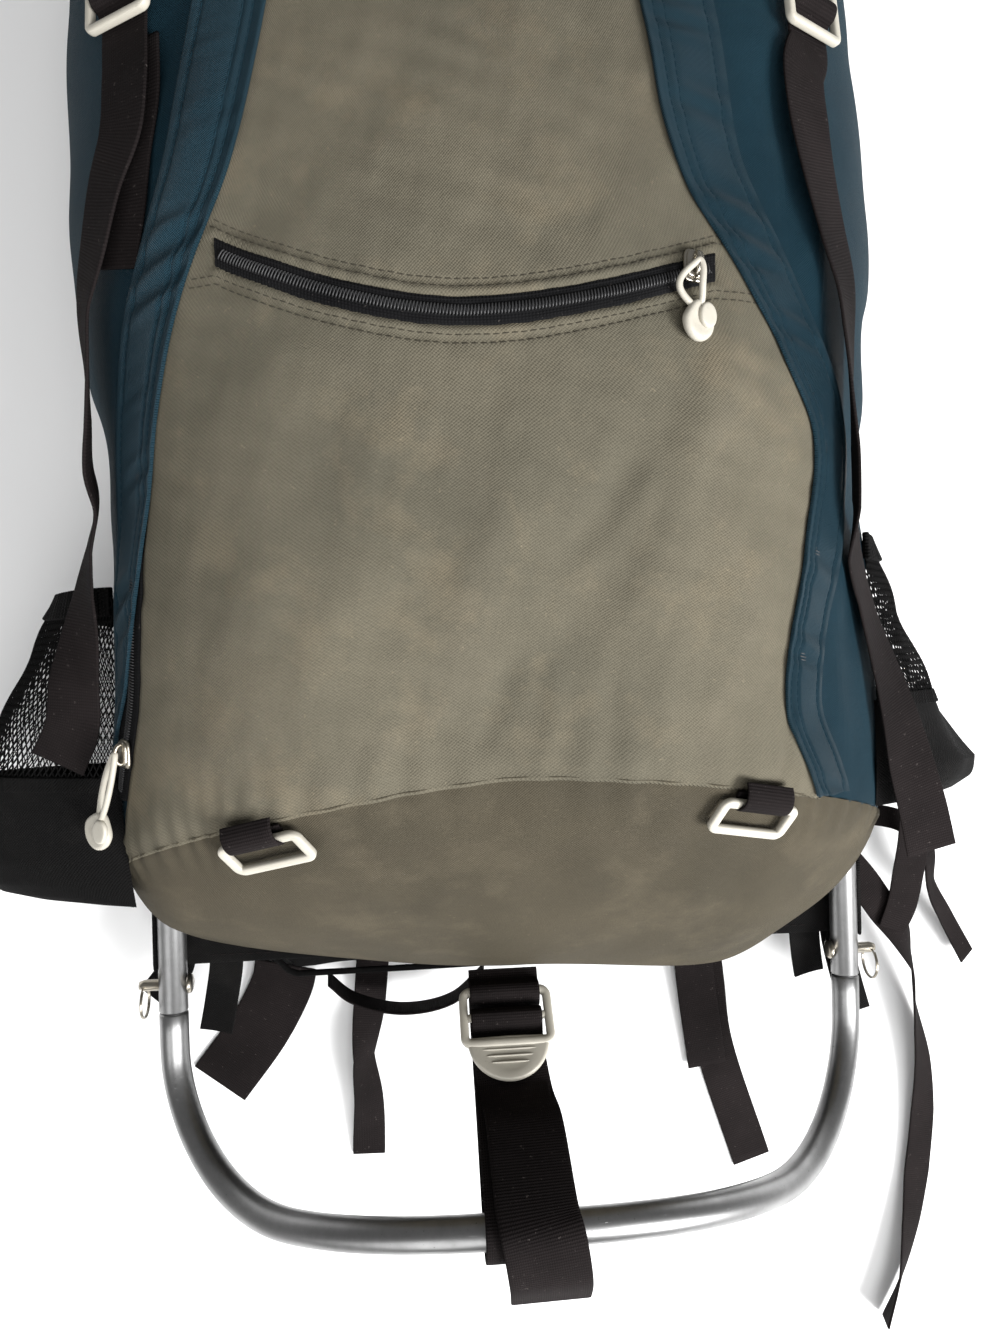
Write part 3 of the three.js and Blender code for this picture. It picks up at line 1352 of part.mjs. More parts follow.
function lumbarPad() {
  const x = LUMBAR_REACH * HALF_FRAME;
  const [low, high] = [-LUMBAR_DROP, PAD_HEIGHT + 4];
  const points = [
    [-x, low + 14],
    [-x + 14, low],
    [x - 14, low],
    [x, low + 14],
    [x, high - 14],
    [x - 14, high],
    [-x + 14, high],
    [-x, high - 14],
  ];
  return pad(points, FLOOR + PAD + GAP, -(TUBE_R + GAP + BAND + GAP), 5);
}

function beltBuckle() {
  const half = BELT_GAP / 2 - GAP;
  const middle = PAD_HEIGHT / 2;
  const points = [
    [-half, middle - 15],
    [half, middle - 15],
    [half, middle + 15],
    [-half, middle + 15],
  ];
  return pad(points, FLOOR + 3, FLOOR + PAD - 4, 2);
}

// The shoulder straps lie under the frame. x is a share of HALF_FRAME, y of FRAME_HEIGHT and lift of
// SHOULDER_PAD.
const SHOULDER_ROUTE = [
  { x: 0.3, y: 0.795, lift: 3.33 },
  { x: 0.33, y: 0.72, lift: 1.9 },
  { x: 0.38, y: 0.64, lift: 0.85 },
  { x: 0.47, y: 0.53, lift: 0.5 },
  { x: 0.59, y: 0.4, lift: 0.5 },
  { x: 0.7, y: 0.29, lift: 0.5 },
  { x: 0.75, y: 0.225, lift: 0.7 },
];

function shoulderStrap(side) {
  const points = SHOULDER_ROUTE.map(({ x, y, lift }) =>
    flat(side * x * HALF_FRAME, y * FRAME_HEIGHT, FLOOR + lift * SHOULDER_PAD),
  );
  return strap(points, SHOULDER_WIDTH, SHOULDER_PAD, 2);
}

function shoulderWebbing(side) {
  const end = SHOULDER_ROUTE[SHOULDER_ROUTE.length - 1];
  const low = -(TUBE_R + GAP + BAND + GAP + WEB / 2);
  return strap(
    [
      flat(side * end.x * HALF_FRAME, end.y * FRAME_HEIGHT - 7 * GAP, FLOOR + end.lift * SHOULDER_PAD),
      flat(side * 0.8 * HALF_FRAME, 0.185 * FRAME_HEIGHT, FLOOR + 0.5 * FRAME_LIFT),
      flat(side * 0.9 * HALF_FRAME, BASE_BAND.high + 0.4 * MIDDLE_WEB, low - 2 * WEB),
      flat(side * 0.93 * HALF_FRAME, BASE_BAND.high - MIDDLE_WEB, low - GAP),
    ],
    MIDDLE_WEB,
    WEB,
    2,
  );
}

add("frame_upper", "aluminium", upperFrame());
add("frame_lower", "aluminium", lowerFrame());
for (const { side, hand } of SIDES) {
  add("clevis_pin_" + hand, "steel", clevisPin(side));
  add("split_ring_" + hand, "steel", splitRing(side));
}
const panelLayer = layer(PANEL_LIFT, PANEL_LIFT + PANEL);
const flapLayer = layer(PANEL_LIFT + PANEL + GAP, PANEL_LIFT + 2 * PANEL + GAP);
add("bag_body", "teal", bagShell());
add("top_lid", "teal", lid());
add("front_panel", "sage", frontPanel(panelLayer));
add("bottom_panel", "olive", bottomPanel(panelLayer));
for (const { side, hand } of SIDES) {
  add("storm_flap_" + hand, "teal", stormFlap(flapLayer, hand, side));
  add("side_zip_" + hand, "zip", sideZip(panelLayer, hand, side));
}
add("pocket_zip", "zip", pocketZip(flapLayer));
add("pocket_zip_slider", "steel", slider(pocketSeat()));
add("pocket_zip_pull", "plastic", zipPull(pocketSeat(), POCKET_PULL));
add("side_zip_slider", "steel", slider(sideSeat()));
add("side_zip_pull", "plastic", zipPull(sideSeat(), SIDE_PULL));
for (const { side, hand } of SIDES) {
  add("side_pocket_" + hand, "mesh", pocket(side, hand, POCKET_MESH_ROWS));
  add("pocket_foot_" + hand, "black_cloth", pocket(side, hand, POCKET_FOOT_ROWS));
  add("ladder_lock_" + hand, "plastic", sideLock(lockSeat(hand)));
  add("side_strap_" + hand, "webbing", sideStrap(hand));
  add("lid_tab_" + hand, "webbing", lidTab(hand));
  add("lash_ring_" + hand, "plastic", lashRing(hand));
  add("lash_webbing_" + hand, "webbing", lashWebbing(hand));
}
add("side_anchor_left", "webbing", anchorStrap());
add("centre_lock", "plastic", centreLock());
add("centre_anchor", "webbing", centreAnchor());
add("centre_strap", "webbing", centreStrap());
for (const piece of LOOSE_STRAPS) add(piece.name, "webbing", looseStrap(piece));
add("slack_band", "webbing", slackBand());
for (const piece of CORNER_TABS) add(piece.name, "black_cloth", cornerTab(piece));
add("base_band", "black_cloth", bandAcross(BASE_BAND));
add("back_band", "mesh", bandAcross(BACK_BAND));
add("lumbar_pad", "black_cloth", lumbarPad());
add("belt_buckle", "plastic", beltBuckle());
for (const { side, hand } of SIDES) {
  add("belt_wing_" + hand, "black_cloth", beltWing(side));
  add("shoulder_strap_" + hand, "black_cloth", shoulderStrap(side));
  add("shoulder_webbing_" + hand, "webbing", shoulderWebbing(side));
}

// The origin is the middle of the footprint, on the floor.
const box = new THREE.Box3().setFromObject(pack);
const middle = box.getCenter(new THREE.Vector3());
pack.position.set(-middle.x, -middle.y, -box.min.z);

export default pack;
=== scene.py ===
import json
import math

import bmesh
import bpy
import numpy as np
from mathutils import Matrix, Vector

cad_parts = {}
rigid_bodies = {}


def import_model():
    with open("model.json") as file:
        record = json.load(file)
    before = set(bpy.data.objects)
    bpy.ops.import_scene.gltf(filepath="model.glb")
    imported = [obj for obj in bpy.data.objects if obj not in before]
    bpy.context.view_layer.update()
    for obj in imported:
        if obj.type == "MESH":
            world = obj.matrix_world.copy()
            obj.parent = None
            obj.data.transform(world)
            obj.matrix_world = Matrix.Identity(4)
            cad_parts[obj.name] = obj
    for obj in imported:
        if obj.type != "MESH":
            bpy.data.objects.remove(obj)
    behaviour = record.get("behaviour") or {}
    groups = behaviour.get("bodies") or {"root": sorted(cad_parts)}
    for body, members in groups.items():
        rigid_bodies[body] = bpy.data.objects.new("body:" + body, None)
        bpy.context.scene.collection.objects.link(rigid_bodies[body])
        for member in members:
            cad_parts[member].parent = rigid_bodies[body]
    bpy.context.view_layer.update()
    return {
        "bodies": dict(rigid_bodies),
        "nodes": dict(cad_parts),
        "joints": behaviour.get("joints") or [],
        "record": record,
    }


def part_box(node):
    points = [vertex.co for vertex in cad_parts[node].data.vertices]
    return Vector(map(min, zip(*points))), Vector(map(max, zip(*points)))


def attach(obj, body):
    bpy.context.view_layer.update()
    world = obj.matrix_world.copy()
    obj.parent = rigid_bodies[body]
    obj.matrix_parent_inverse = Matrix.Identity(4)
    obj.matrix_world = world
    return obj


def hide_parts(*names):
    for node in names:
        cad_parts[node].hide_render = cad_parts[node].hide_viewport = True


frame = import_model()

# All tables and sizes are in millimetres, in the upright pack's own frame: x across, y from foot to
# head, z away from the frame. The side tubes' plane is z = 0 and the clevis pins are at y = 0.
JOINT_DROP = 15.0
tube_low, tube_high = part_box("frame_upper")
PACK_SHIFT = np.array(
    [
        500 * (tube_low.x + tube_high.x),
        1000 * tube_low.y + JOINT_DROP,
        500 * (tube_low.z + tube_high.z),
    ]
)

GAP = 0.4
HANDS = (("left", -1), ("right", 1))
TUBE_R = 15.9 / 2
HALF_FRAME = 197.0
FRAME_HEIGHT = 700.0
ARCH_RADIUS = 88.0
FLOOR = -52.0
FRAME_LIFT = 52.0
HOOP_DROP = 108.0
HOOP_CORNER = 72.0
HOOP_BOW = 120.0
HOOP_RISE = 24.0
SPIGOT = 42.0
PIN_R = 3.15
PIN_REACH = 19.0
RING_R = 9.0
BAG_LENGTH = 620.0
BAG_WIDTH = 406.0
BAG_DEPTH = 186.0
SQUARENESS = 2.7
BAG_LEAN = -0.071
BAG_SHIFT = -6.0
BAG_TURN = math.radians(1.6)
BAG_BACK = TUBE_R + GAP
LID_RISE = 46.0
LID_SKIRT = 62.0
SEAM_HEIGHT = 130.0
SEAM_FALL = 55.0
HEM_EDGE = 16.0
BASE_BULGE = 14.0
COLLAR_AT = BAG_LENGTH - LID_SKIRT
PANEL_TOP = COLLAR_AT - 10
PANEL_LIFT = 1.8
FLAP_LIFT = 3.4
FLAP_FOOT = {"left": 0.223 * BAG_LENGTH, "right": 0.178 * BAG_LENGTH}
ZIP_FOOT = 0.2 * BAG_LENGTH
PANEL_REACH = 0.76
POCKET_HEIGHT = 160.0
POCKET_BULGE = 84.0
WEB = 1.5
NARROW_WEB = 20.0
MIDDLE_WEB = 25.0
WIDE_WEB = 38.0
PAD = 18.0
PAD_HEIGHT = 84.0
BAND = 2.2
BAND_LOW = -(TUBE_R + GAP + BAND)

# Bag sections: share of the length, share of half the width, share of the depth.
SECTIONS = np.array(
    [
        (0.00, 0.970, 0.640), (0.10, 0.985, 0.750), (0.19, 0.990, 0.850), (0.32, 0.962, 0.945),
        (0.40, 0.946, 0.980), (0.48, 0.965, 1.000), (0.56, 0.998, 0.995), (0.65, 1.000, 0.980),
        (0.80, 0.985, 0.930), (1.00, 0.950, 0.860),
    ]
)
# The lowest edge: place round the front from -1 to 1, rise as a share of the seam's height.
HEM = np.array(
    [
        (-1.00, 0.44), (-0.75, 0.33), (-0.50, 0.25), (-0.25, 0.17), (0.00, 0.08), (0.30, 0.02),
        (0.50, 0.15), (0.75, 0.34), (1.00, 0.52),
    ]
)
# Large folds: across, up, wide, long, lean, swell, in shares.
FOLDS = np.array(
    [
        (0.10, 0.37, 0.05, 0.110, 0.9, -0.028), (0.17, 0.41, 0.06, 0.100, 0.9, 0.024),
        (-0.25, 0.30, 0.12, 0.140, -0.5, 0.026), (0.00, 0.26, 0.09, 0.050, 0.0, -0.020),
        (-0.05, 0.75, 0.25, 0.120, 0.0, -0.022), (0.80, 0.52, 0.12, 0.030, 0.0, -0.040),
        (0.80, 0.42, 0.12, 0.025, 0.0, -0.035), (-0.80, 0.46, 0.12, 0.035, 0.0, -0.035),
    ]
)
# The grey panel's edges: share of the length, left and right as shares of half the width.
FRONT_EDGES = np.array(
    [
        (0.100, -0.975, 0.690), (0.140, -0.955, 0.650), (0.190, -0.910, 0.590), (0.255, -0.855, 0.505),
        (0.360, -0.818, 0.547), (0.430, -0.778, 0.571), (0.482, -0.744, 0.488), (0.526, -0.700, 0.400),
        (0.600, -0.601, 0.261), (0.700, -0.537, 0.212), (0.800, -0.490, 0.160), (0.920, -0.460, 0.140),
    ]
)
# Where the storm flaps begin and end, outward from those edges as seen from above, left and right.
FLAP_INNER = np.array(
    [
        (0.2, 9.5, -3), (0.24, 10.5, -3), (0.27, 7, -3), (0.33, 2, -3), (0.4, -3, -3), (0.95, -3, -3),
    ]
)
FLAP_WIDTHS = np.array(
    [
        (0.14, 12.5, 16.0), (0.21, 12.5, 16.0), (0.27, 14.0, 15.0), (0.43, 17.0, 20.0), (0.60, 24.0, 27.0),
        (0.92, 28.0, 28.0),
    ]
)
# Creases in the cloth as seen from above: from x, y to x, y, half width and height.
CREASES = np.array(
    [
        (31, 256, 2, 214, 7.5, -1.5), (40, 256, 12, 212, 7.5, 1.7), (-8, 262, -40, 196, 13.0, 1.6),
        (-70, 250, -96, 150, 15.0, 1.8), (70, 236, 84, 168, 12.0, 1.5), (-18, 178, -34, 140, 6.0, -1.5),
        (2, 172, -6, 138, 5.0, 1.3), (22, 168, 22, 138, 6.0, -1.5), (44, 178, 40, 140, 6.5, 1.3),
        (-60, 170, -66, 128, 7.0, -1.2), (-20, 120, 40, 84, 12.0, 1.7), (-110, 84, -30, 44, 11.0, -1.6),
        (60, 100, 110, 62, 9.0, -1.7), (-128, 420, -150, 330, 8.0, 1.9), (-150, 460, -158, 360, 6.0, -1.8),
        (96, 420, 112, 330, 7.0, -1.9), (110, 400, 126, 300, 8.0, 1.8), (140, 300, 150, 170, 7.0, -1.8),
        (128, 250, 138, 120, 6.0, 1.5), (103, 166, 98, 112, 2.4, -1.5),
    ],
    float,
)


def metres(points):
    """Points of the pack's own frame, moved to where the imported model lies, in metres."""
    return (np.asarray(points, float) + PACK_SHIFT) / 1000


def vector(x, y, z):
    """Three arrays that broadcast together, as one array of points."""
    return np.stack(np.broadcast_arrays(x, y, z), -1).astype(float)


def unit(v):
    """Vectors divided by their length."""
    return v / np.maximum(np.linalg.norm(v, axis=-1, keepdims=True), 1e-12)


def ease(low, high, x):
    """0 below low, 1 above high, and 3t^2 - 2t^3 between them."""
    t = np.clip((x - low) / (high - low), 0, 1)
    return t * t * (3 - 2 * t)


def squared(wave, power):
    """A sine or cosine whose size is raised to a power while its sign stays."""
    return np.sign(wave) * np.abs(wave) ** power


def circle(count):
    """Angles at even distances round a full turn."""
    return np.linspace(0, 2 * np.pi, count, endpoint=False)


def along_run(values, run, at):
    """Rows of a path read off at given distances along it."""
    return np.stack([np.interp(at, run, values[:, k]) for k in range(3)], -1)


def quads_of(index):
    """Four corners per cell of a grid of point numbers."""
    return np.stack([index[:-1, :-1], index[:-1, 1:], index[1:, 1:], index[1:, :-1]], -1).reshape(-1, 4)


def bend(table, column, x):
    """A smooth curve through a table's rows: cubics whose end slopes are the chords past their neighbours."""
    places, values = table[:, 0], table[:, column]
    x = np.clip(x, places[0], places[-1])
    i = np.clip(np.searchsorted(places, x, side="right") - 1, 0, len(places) - 2)
    slopes = np.gradient(values, places)
    slopes[1:-1] = (values[2:] - values[:-2]) / (places[2:] - places[:-2])
    span = places[i + 1] - places[i]
    t = (x - places[i]) / span
    return (
        (2 * t**3 - 3 * t**2 + 1) * values[i]
        + (t**3 - 2 * t**2 + t) * span * slopes[i]
        + (3 * t**2 - 2 * t**3) * values[i + 1]
        + (t**3 - t**2) * span * slopes[i + 1]
    )


def ripples(u, v, seed, wave, count=18):
    """A smooth random relief of unit height: plane waves about one wavelength long, in seeded directions."""
    pick = np.random.default_rng(seed)
    angle = pick.uniform(0, 2 * np.pi, count)
    pace = 2 * np.pi / (wave * pick.uniform(0.7, 1.5, count))
    phase = pick.uniform(0, 2 * np.pi, count)
    total = 0.0
    for a, k, p in zip(angle, pace, phase):
        total = total + np.cos(k * (np.cos(a) * u + np.sin(a) * v) + p)
    return total * math.sqrt(2 / count)


def hang(x, y, z):
    """A point of the upright bag as it hangs: leant sideways with its depth, then turned by 1.6 degrees."""
    x = x + BAG_LEAN * z + BAG_SHIFT
    y = y - BAG_LENGTH / 3
    c, s = math.cos(BAG_TURN), math.sin(BAG_TURN)
    return vector(x * c - y * s, x * s + y * c + BAG_LENGTH / 3, z)


def fold_at(across, along):
    """The large folds: a sum of Gaussian swells over the girth and the length."""
    share = along / BAG_LENGTH
    total = 0.0
    for place, up, wide, long, lean, swell in FOLDS:
        u = (across - place - lean * (share - up)) / wide
        v = (share - up) / long
        total = total + swell * BAG_DEPTH * np.exp(-u * u - v * v)
    return total


def bag_point(across, along, out=0.0):
    """The bag's front: a squared ellipse on a flat back, |sin| and |cos| of the girth's angle to 2/2.7."""
    across, along = np.broadcast_arrays(np.clip(across, -1, 1), along)
    half = bend(SECTIONS, 1, along / BAG_LENGTH) * BAG_WIDTH / 2 + out
    deep = bend(SECTIONS, 2, along / BAG_LENGTH) * BAG_DEPTH + 2 * out
    a = across * np.pi / 2
    crown = np.abs(np.cos(a)) ** (2 / SQUARENESS)
    side = squared(np.sin(a), 2 / SQUARENESS)
    fold = fold_at(across, along) * np.minimum(1, crown * 3)
    turned = ease(0.52, 0.68, np.abs(across))
    x = half * side + np.sign(across) * fold * turned
    return hang(x, along, BAG_BACK - out + deep * crown + fold * (1 - turned))


def bag_normal(across, along):
    """The direction square to the bag: the cross product of its two slopes, by small differences."""
    side = bag_point(across + 0.01, along) - bag_point(across - 0.01, along)
    up = bag_point(across, along + 5) - bag_point(across, along - 5)
    return unit(np.cross(side, up))


def relief(p):
    """Creases as seen from above: Gaussian ridges along fading straight lines, and slow swells."""
    x, y = p[..., 0], p[..., 1]
    total = 0.45 * ripples(x, y, 3, 90) + 0.2 * ripples(x, y, 4, 34)
    for x0, y0, x1, y1, wide, high in CREASES:
        length = math.hypot(x1 - x0, y1 - y0)
        ux, uy = (x1 - x0) / length, (y1 - y0) / length
        along = (x - x0) * ux + (y - y0) * uy
        off = (x - x0) * uy - (y - y0) * ux + 3 * np.sin(along / 17)
        fade = ease(-0.25 * length, 0.3 * length, along) * ease(-0.25 * length, 0.3 * length, length - along)
        total = total + high * fade * np.exp(-((off / wide) ** 2))
    return total


def cloth(across, along, out=0.0, extra=0.0):
    """The bag's cloth: the smooth bag moved along its normal by the relief that all layers share."""
    p = bag_point(across, along, out)
    fade = ease(0.0, 0.2, 1 - np.abs(across))
    return p + bag_normal(across, along) * (relief(p) * fade + extra)[..., None]


def seam_height(across):
    """The bottom seam's height: highest in the middle, falling with the girth to the power 1.1."""
    return SEAM_HEIGHT - SEAM_FALL * np.abs(across) ** 1.1


def hem_point(across, out=0.0, high=HEM_EDGE):
    """The bag's hem: the lowest section's outline seen from the foot, raised by the hem's table."""
    a = across * np.pi / 2
    half = SECTIONS[0, 1] * BAG_WIDTH / 2 + out
    x = half * squared(np.sin(a), 2 / SQUARENESS)
    lift = (high + 2 * out) * np.abs(np.cos(a)) ** 0.5 if high else 0 * a
    return hang(x, bend(HEM, 1, across) * SEAM_HEIGHT - out, BAG_BACK - out + lift)


def bottom_cloth_point(across, share, out=0.0, extra=0.0):
    """The bottom panel: straight lines from seam to hem, bulged by a half wave between them."""
    across, share = np.broadcast_arrays(across, share)
    seam = seam_height(across)
    top = bag_point(across, seam, out)
    low = hem_point(across, out)
    p = top + (low - top) * share[..., None]
    bulge = BASE_BULGE * np.sin(np.pi * share) * np.cos(across * np.pi / 2)
    slant = np.array([0, -0.77, 0.64])
    turned = ease(0, 0.3, share)[..., None]
    face = unit(bag_normal(across, seam) * (1 - turned) + slant * turned)
    wave = relief(p) * ease(1, 0.75, share) * ease(0.0, 0.2, 1 - np.abs(across)) + extra
    return p + slant * bulge[..., None] + face * wave[..., None]


def across_at(x, along):
    """The place round the girth at which the cloth is at x, found by halving."""
    x, along = np.broadcast_arrays(x, along)
    low, high = np.full(x.shape, -1.0), np.full(x.shape, 1.0)
    for _ in range(26):
        middle = (low + high) / 2
        less = bag_point(middle, along)[..., 0] < x
        low, high = np.where(less, middle, low), np.where(less, high, middle)
    return (low + high) / 2


def strip_place(s, t, left, right, foot, top):
    """Girth and length at share s between two edges given by x over y, and share t between foot and top."""
    s, t = np.broadcast_arrays(s, t)
    along = 0.5 * (foot(0 * s) + top) + 0 * t
    across = 0 * s
    for _ in range(7):
        y = bag_point(across, along, PANEL_LIFT)[..., 1]
        across = across_at(left(y) + (right(y) - left(y)) * s, along)
        low = foot(across)
        along = low + (top - low) * t
    return across, along


def edge_x(y, column):
    """x of the grey panel's left (1) or right (2) edge."""
    return bend(FRONT_EDGES, column, y / BAG_LENGTH) * BAG_WIDTH / 2


class Shape:
    """Points, faces and UV places of one piece, gathered before they become a mesh."""

    def __init__(self):
        self.points, self.quads, self.caps, self.uv, self.count = [], [], [], [], 0

    def grid(self, points, uv=None, around=False, flip=False, ends=False):
        """Rows of points as quads that face columns cross rows; around closes rows, ends caps both ends."""
        rows, columns = points.shape[:2]
        if uv is None:
            uv = np.zeros((rows, columns, 2))
        index = np.arange(rows * columns).reshape(rows, columns) + self.count
        if ends:
            first, last = index[0], index[-1]
            self.caps += [first if flip else first[::-1], last[::-1] if flip else last]
        if around:
            index = np.concatenate([index, index[:, :1]], 1)
        quads = quads_of(index)
        self.points.append(points.reshape(-1, 3))
        self.uv.append(uv.reshape(-1, 2))
        self.quads.append(quads[:, ::-1] if flip else quads)
        self.count += rows * columns
        return self

    def copies(self, points, quads):
        """Many like bodies: an array of points per body, all with the same quads."""
        many, each = points.shape[:2]
        shift = (np.arange(many) * each)[:, None, None] + self.count
        self.points.append(points.reshape(-1, 3))
        self.uv.append(np.zeros((many * each, 2)))
        self.quads.append((quads[None] + shift).reshape(-1, 4))
        self.count += many * each
        return self


def make(name, shape, material, nodes=(), weld=False):
    """Turns a shape in the pack's millimetres into a piece that rides on it and stands for CAD nodes."""
    points = metres(np.concatenate(shape.points))
    quads = np.concatenate(shape.quads)
    loops = np.concatenate([quads.ravel()] + [np.asarray(c) for c in shape.caps]).astype(np.int32)
    sizes = np.concatenate([np.full(len(quads), 4), [len(c) for c in shape.caps]]).astype(np.int32)
    mesh = bpy.data.meshes.new(name)
    mesh.vertices.add(len(points))
    mesh.vertices.foreach_set("co", points.ravel().astype(np.float32))
    mesh.loops.add(len(loops))
    mesh.loops.foreach_set("vertex_index", loops)
    mesh.polygons.add(len(sizes))
    mesh.polygons.foreach_set("loop_start", np.concatenate([[0], np.cumsum(sizes)[:-1]]).astype(np.int32))
    mesh.polygons.foreach_set("loop_total", sizes)
    mesh.update(calc_edges=True)
    layer = mesh.uv_layers.new(name="cloth")
    layer.data.foreach_set("uv", np.concatenate(shape.uv)[loops].ravel().astype(np.float32))
    mesh.validate()
    if weld:
        work = bmesh.new()
        work.from_mesh(mesh)
        bmesh.ops.remove_doubles(work, verts=work.verts, dist=1e-6)
        bmesh.ops.recalc_face_normals(work, faces=work.faces)
        work.to_mesh(mesh)
        work.free()
    mesh.shade_smooth()
    piece = bpy.data.objects.new(name, mesh)
    bpy.context.scene.collection.objects.link(piece)
    mesh.materials.append(material)
    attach(piece, "root")
    if nodes:
        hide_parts(*nodes)
    return piece


def spline(points, steps):
    """A centripetal Catmull-Rom curve through points, each stretch cut into the same number of steps."""
    p = np.asarray(points, float)
    p = np.concatenate([[2 * p[0] - p[1]], p, [2 * p[-1] - p[-2]]])
    count = len(p) - 3
    t = np.arange(count * steps + 1) / steps
    i = np.minimum(t.astype(int), count - 1)
    w = (t - i)[:, None]
    a, b, c, d = p[i], p[i + 1], p[i + 2], p[i + 3]

    def reach(m, n):
        return np.maximum(np.linalg.norm(m - n, axis=-1, keepdims=True) ** 0.5, 1e-4)

    da, db, dc = reach(a, b), reach(b, c), reach(c, d)
    start = ((b - a) / da - (c - a) / (da + db) + (c - b) / db) * db
    end = ((c - b) / db - (d - b) / (db + dc) + (d - c) / dc) * db
    return b + start * w + (3 * c - 3 * b - 2 * start - end) * w**2 + (2 * b - 2 * c + start + end) * w**3


def slopes_of(path, closed=False):
    """Unit tangents of a path of points, by central differences."""
    if closed:
        return unit(np.roll(path, -1, 0) - np.roll(path, 1, 0))
    return unit(np.gradient(path, axis=0))


def run_of(path):
    """Distance along a path of points."""
    return np.concatenate([[0], np.cumsum(np.linalg.norm(np.diff(path, axis=0), axis=1))])


def tube(shape, path, radius, sides=20, reference=(0, 0, 1), closed=False):
    """A round tube: circles of the given radius square to the path."""
    along = slopes_of(path, closed)
    first = np.broadcast_to(np.asarray(reference, float), path.shape)
    first = unit(first - along * (first * along).sum(-1, keepdims=True))
    second = np.cross(along, first)
    a = circle(sides)
    radius = np.broadcast_to(np.asarray(radius, float), (len(path),))[:, None, None]
    rings = path[:, None] + radius * (
        np.cos(a)[None, :, None] * first[:, None] + np.sin(a)[None, :, None] * second[:, None]
    )
    run = run_of(path)
    uv = np.stack(np.broadcast_arrays(a[None] * 4, run[:, None]), -1)
    if closed:
        rings, uv = np.concatenate([rings, rings[:1]]), np.concatenate([uv, uv[:1]])
    return shape.grid(rings, uv, around=True, ends=not closed)


# Half of a strap's cross-section: places across as shares of the half width, heights of the half thickness.
STRAP_ACROSS = np.array([-1.0, -0.995, -0.97, -0.9, -0.6, -0.3, 0.0, 0.3, 0.6, 0.9, 0.97, 0.995, 1.0])
STRAP_HEIGHT = np.array([0.0, 0.5, 0.86, 1.0, 1.0, 1.0, 1.0, 1.0, 1.0, 1.0, 0.86, 0.5, 0.0])


def strap(shape, path, faces, width, thickness=WEB, cup=0.0, fixed=None):
    """Flat webbing: a rounded strip carried along a path, its face turned as given at each point."""
    along = slopes_of(path)
    if fixed is not None:
        faces = unit(np.cross(np.broadcast_to(np.asarray(fixed, float), path.shape), along))
    faces = unit(faces - along * (faces * along).sum(-1, keepdims=True))
    across = np.cross(along, faces)
    s = np.concatenate([STRAP_ACROSS, STRAP_ACROSS[-2:0:-1]])
    h = np.concatenate([STRAP_HEIGHT, -STRAP_HEIGHT[-2:0:-1]])
    run = run_of(path)
    lift = h[None] * thickness / 2 + cup * (s[None] ** 2 - 0.4)
    points = path[:, None] + across[:, None] * (s * width / 2)[None, :, None] + faces[:, None] * lift[..., None]
    uv = np.stack(np.broadcast_arrays(s[None] * width / 2, run[:, None]), -1)
    return shape.grid(points, uv, around=True, flip=True, ends=True)


def faces_between(faces, steps):
    """Face directions at the points of a path, blended straight between the given ones."""
    f = np.asarray(faces, float)
    t = np.arange((len(f) - 1) * steps + 1) / steps
    i = np.minimum(t.astype(int), len(f) - 2)
    w = (t - i)[:, None]
    return unit(f[i] * (1 - w) + f[i + 1] * w)


def strip_cloth(shape, s, t, left, right, foot, top, out, extra=None, tuck=1.6):
    """A panel of cloth over the bag between two edges, whose rim is turned down to the layer below."""
    ss, tt = np.meshgrid(s, t)
    across, along = strip_place(ss, tt, left, right, foot, top)
    lift = np.zeros_like(ss) if extra is None else extra(ss, across, along)
    points = cloth(across, along, out, lift)
    girth = run_of(points[len(points) // 2])
    length = run_of(points[:, points.shape[1] // 2])
    uv = np.stack(np.meshgrid(girth, length), -1)
    normal = bag_normal(across, along)
    low = points - normal * tuck
    points = np.concatenate([low[:, :1], points, low[:, -1:]], 1)
    uv = np.concatenate([uv[:, :1], uv, uv[:, -1:]], 1)
    foot_row, head_row = points[:1] - normal[:1, :1] * tuck, points[-1:] - normal[-1:, :1] * tuck
    points = np.concatenate([foot_row, points, head_row])
    uv = np.concatenate([uv[:1], uv, uv[-1:]])
    return shape.grid(points, uv)


STITCH_TURN = circle(6)
STITCH_RINGS = np.array([(-0.5, 0.15), (-0.38, 0.8), (0.0, 1.0), (0.38, 0.8), (0.5, 0.15)])


def stitches(shape, path, normals, pitch=3.6, long=2.7, thick=0.55, sink=0.05):
    """Stitches along a path: small capsules of thread, one for each pitch of its length."""
    run = run_of(path)
    at = np.arange(pitch / 2, run[-1], pitch)
    place = along_run(path, run, at)
    along = unit(along_run(path, run, at + 0.4) - along_run(path, run, at - 0.4))
    face = unit(along_run(normals, run, at))
    face = unit(face - along * (face * along).sum(-1, keepdims=True))
    side = np.cross(along, face)
    z, r = STITCH_RINGS[:, 0] * long, STITCH_RINGS[:, 1] * thick / 2
    c, s = np.cos(STITCH_TURN), np.sin(STITCH_TURN)
    body = (
        along[:, None, None] * z[None, :, None, None]
        + face[:, None, None] * (r[None, :, None] * c[None, None])[..., None]
        + side[:, None, None] * (r[None, :, None] * s[None, None])[..., None]
    )
    points = (place - face * sink)[:, None, None] + body
    rings, sides = len(z), len(c)
    index = np.arange(rings * sides).reshape(rings, sides)
    index = np.concatenate([index, index[:, :1]], 1)
    quads = quads_of(index)
    ends = np.array([[3, 2, 1, 0], [5, 4, 3, 0]])
    tail = ends[:, ::-1] + (rings - 1) * sides
    return shape.copies(points.reshape(len(at), -1, 3), np.concatenate([quads, ends, tail])[:, ::-1])


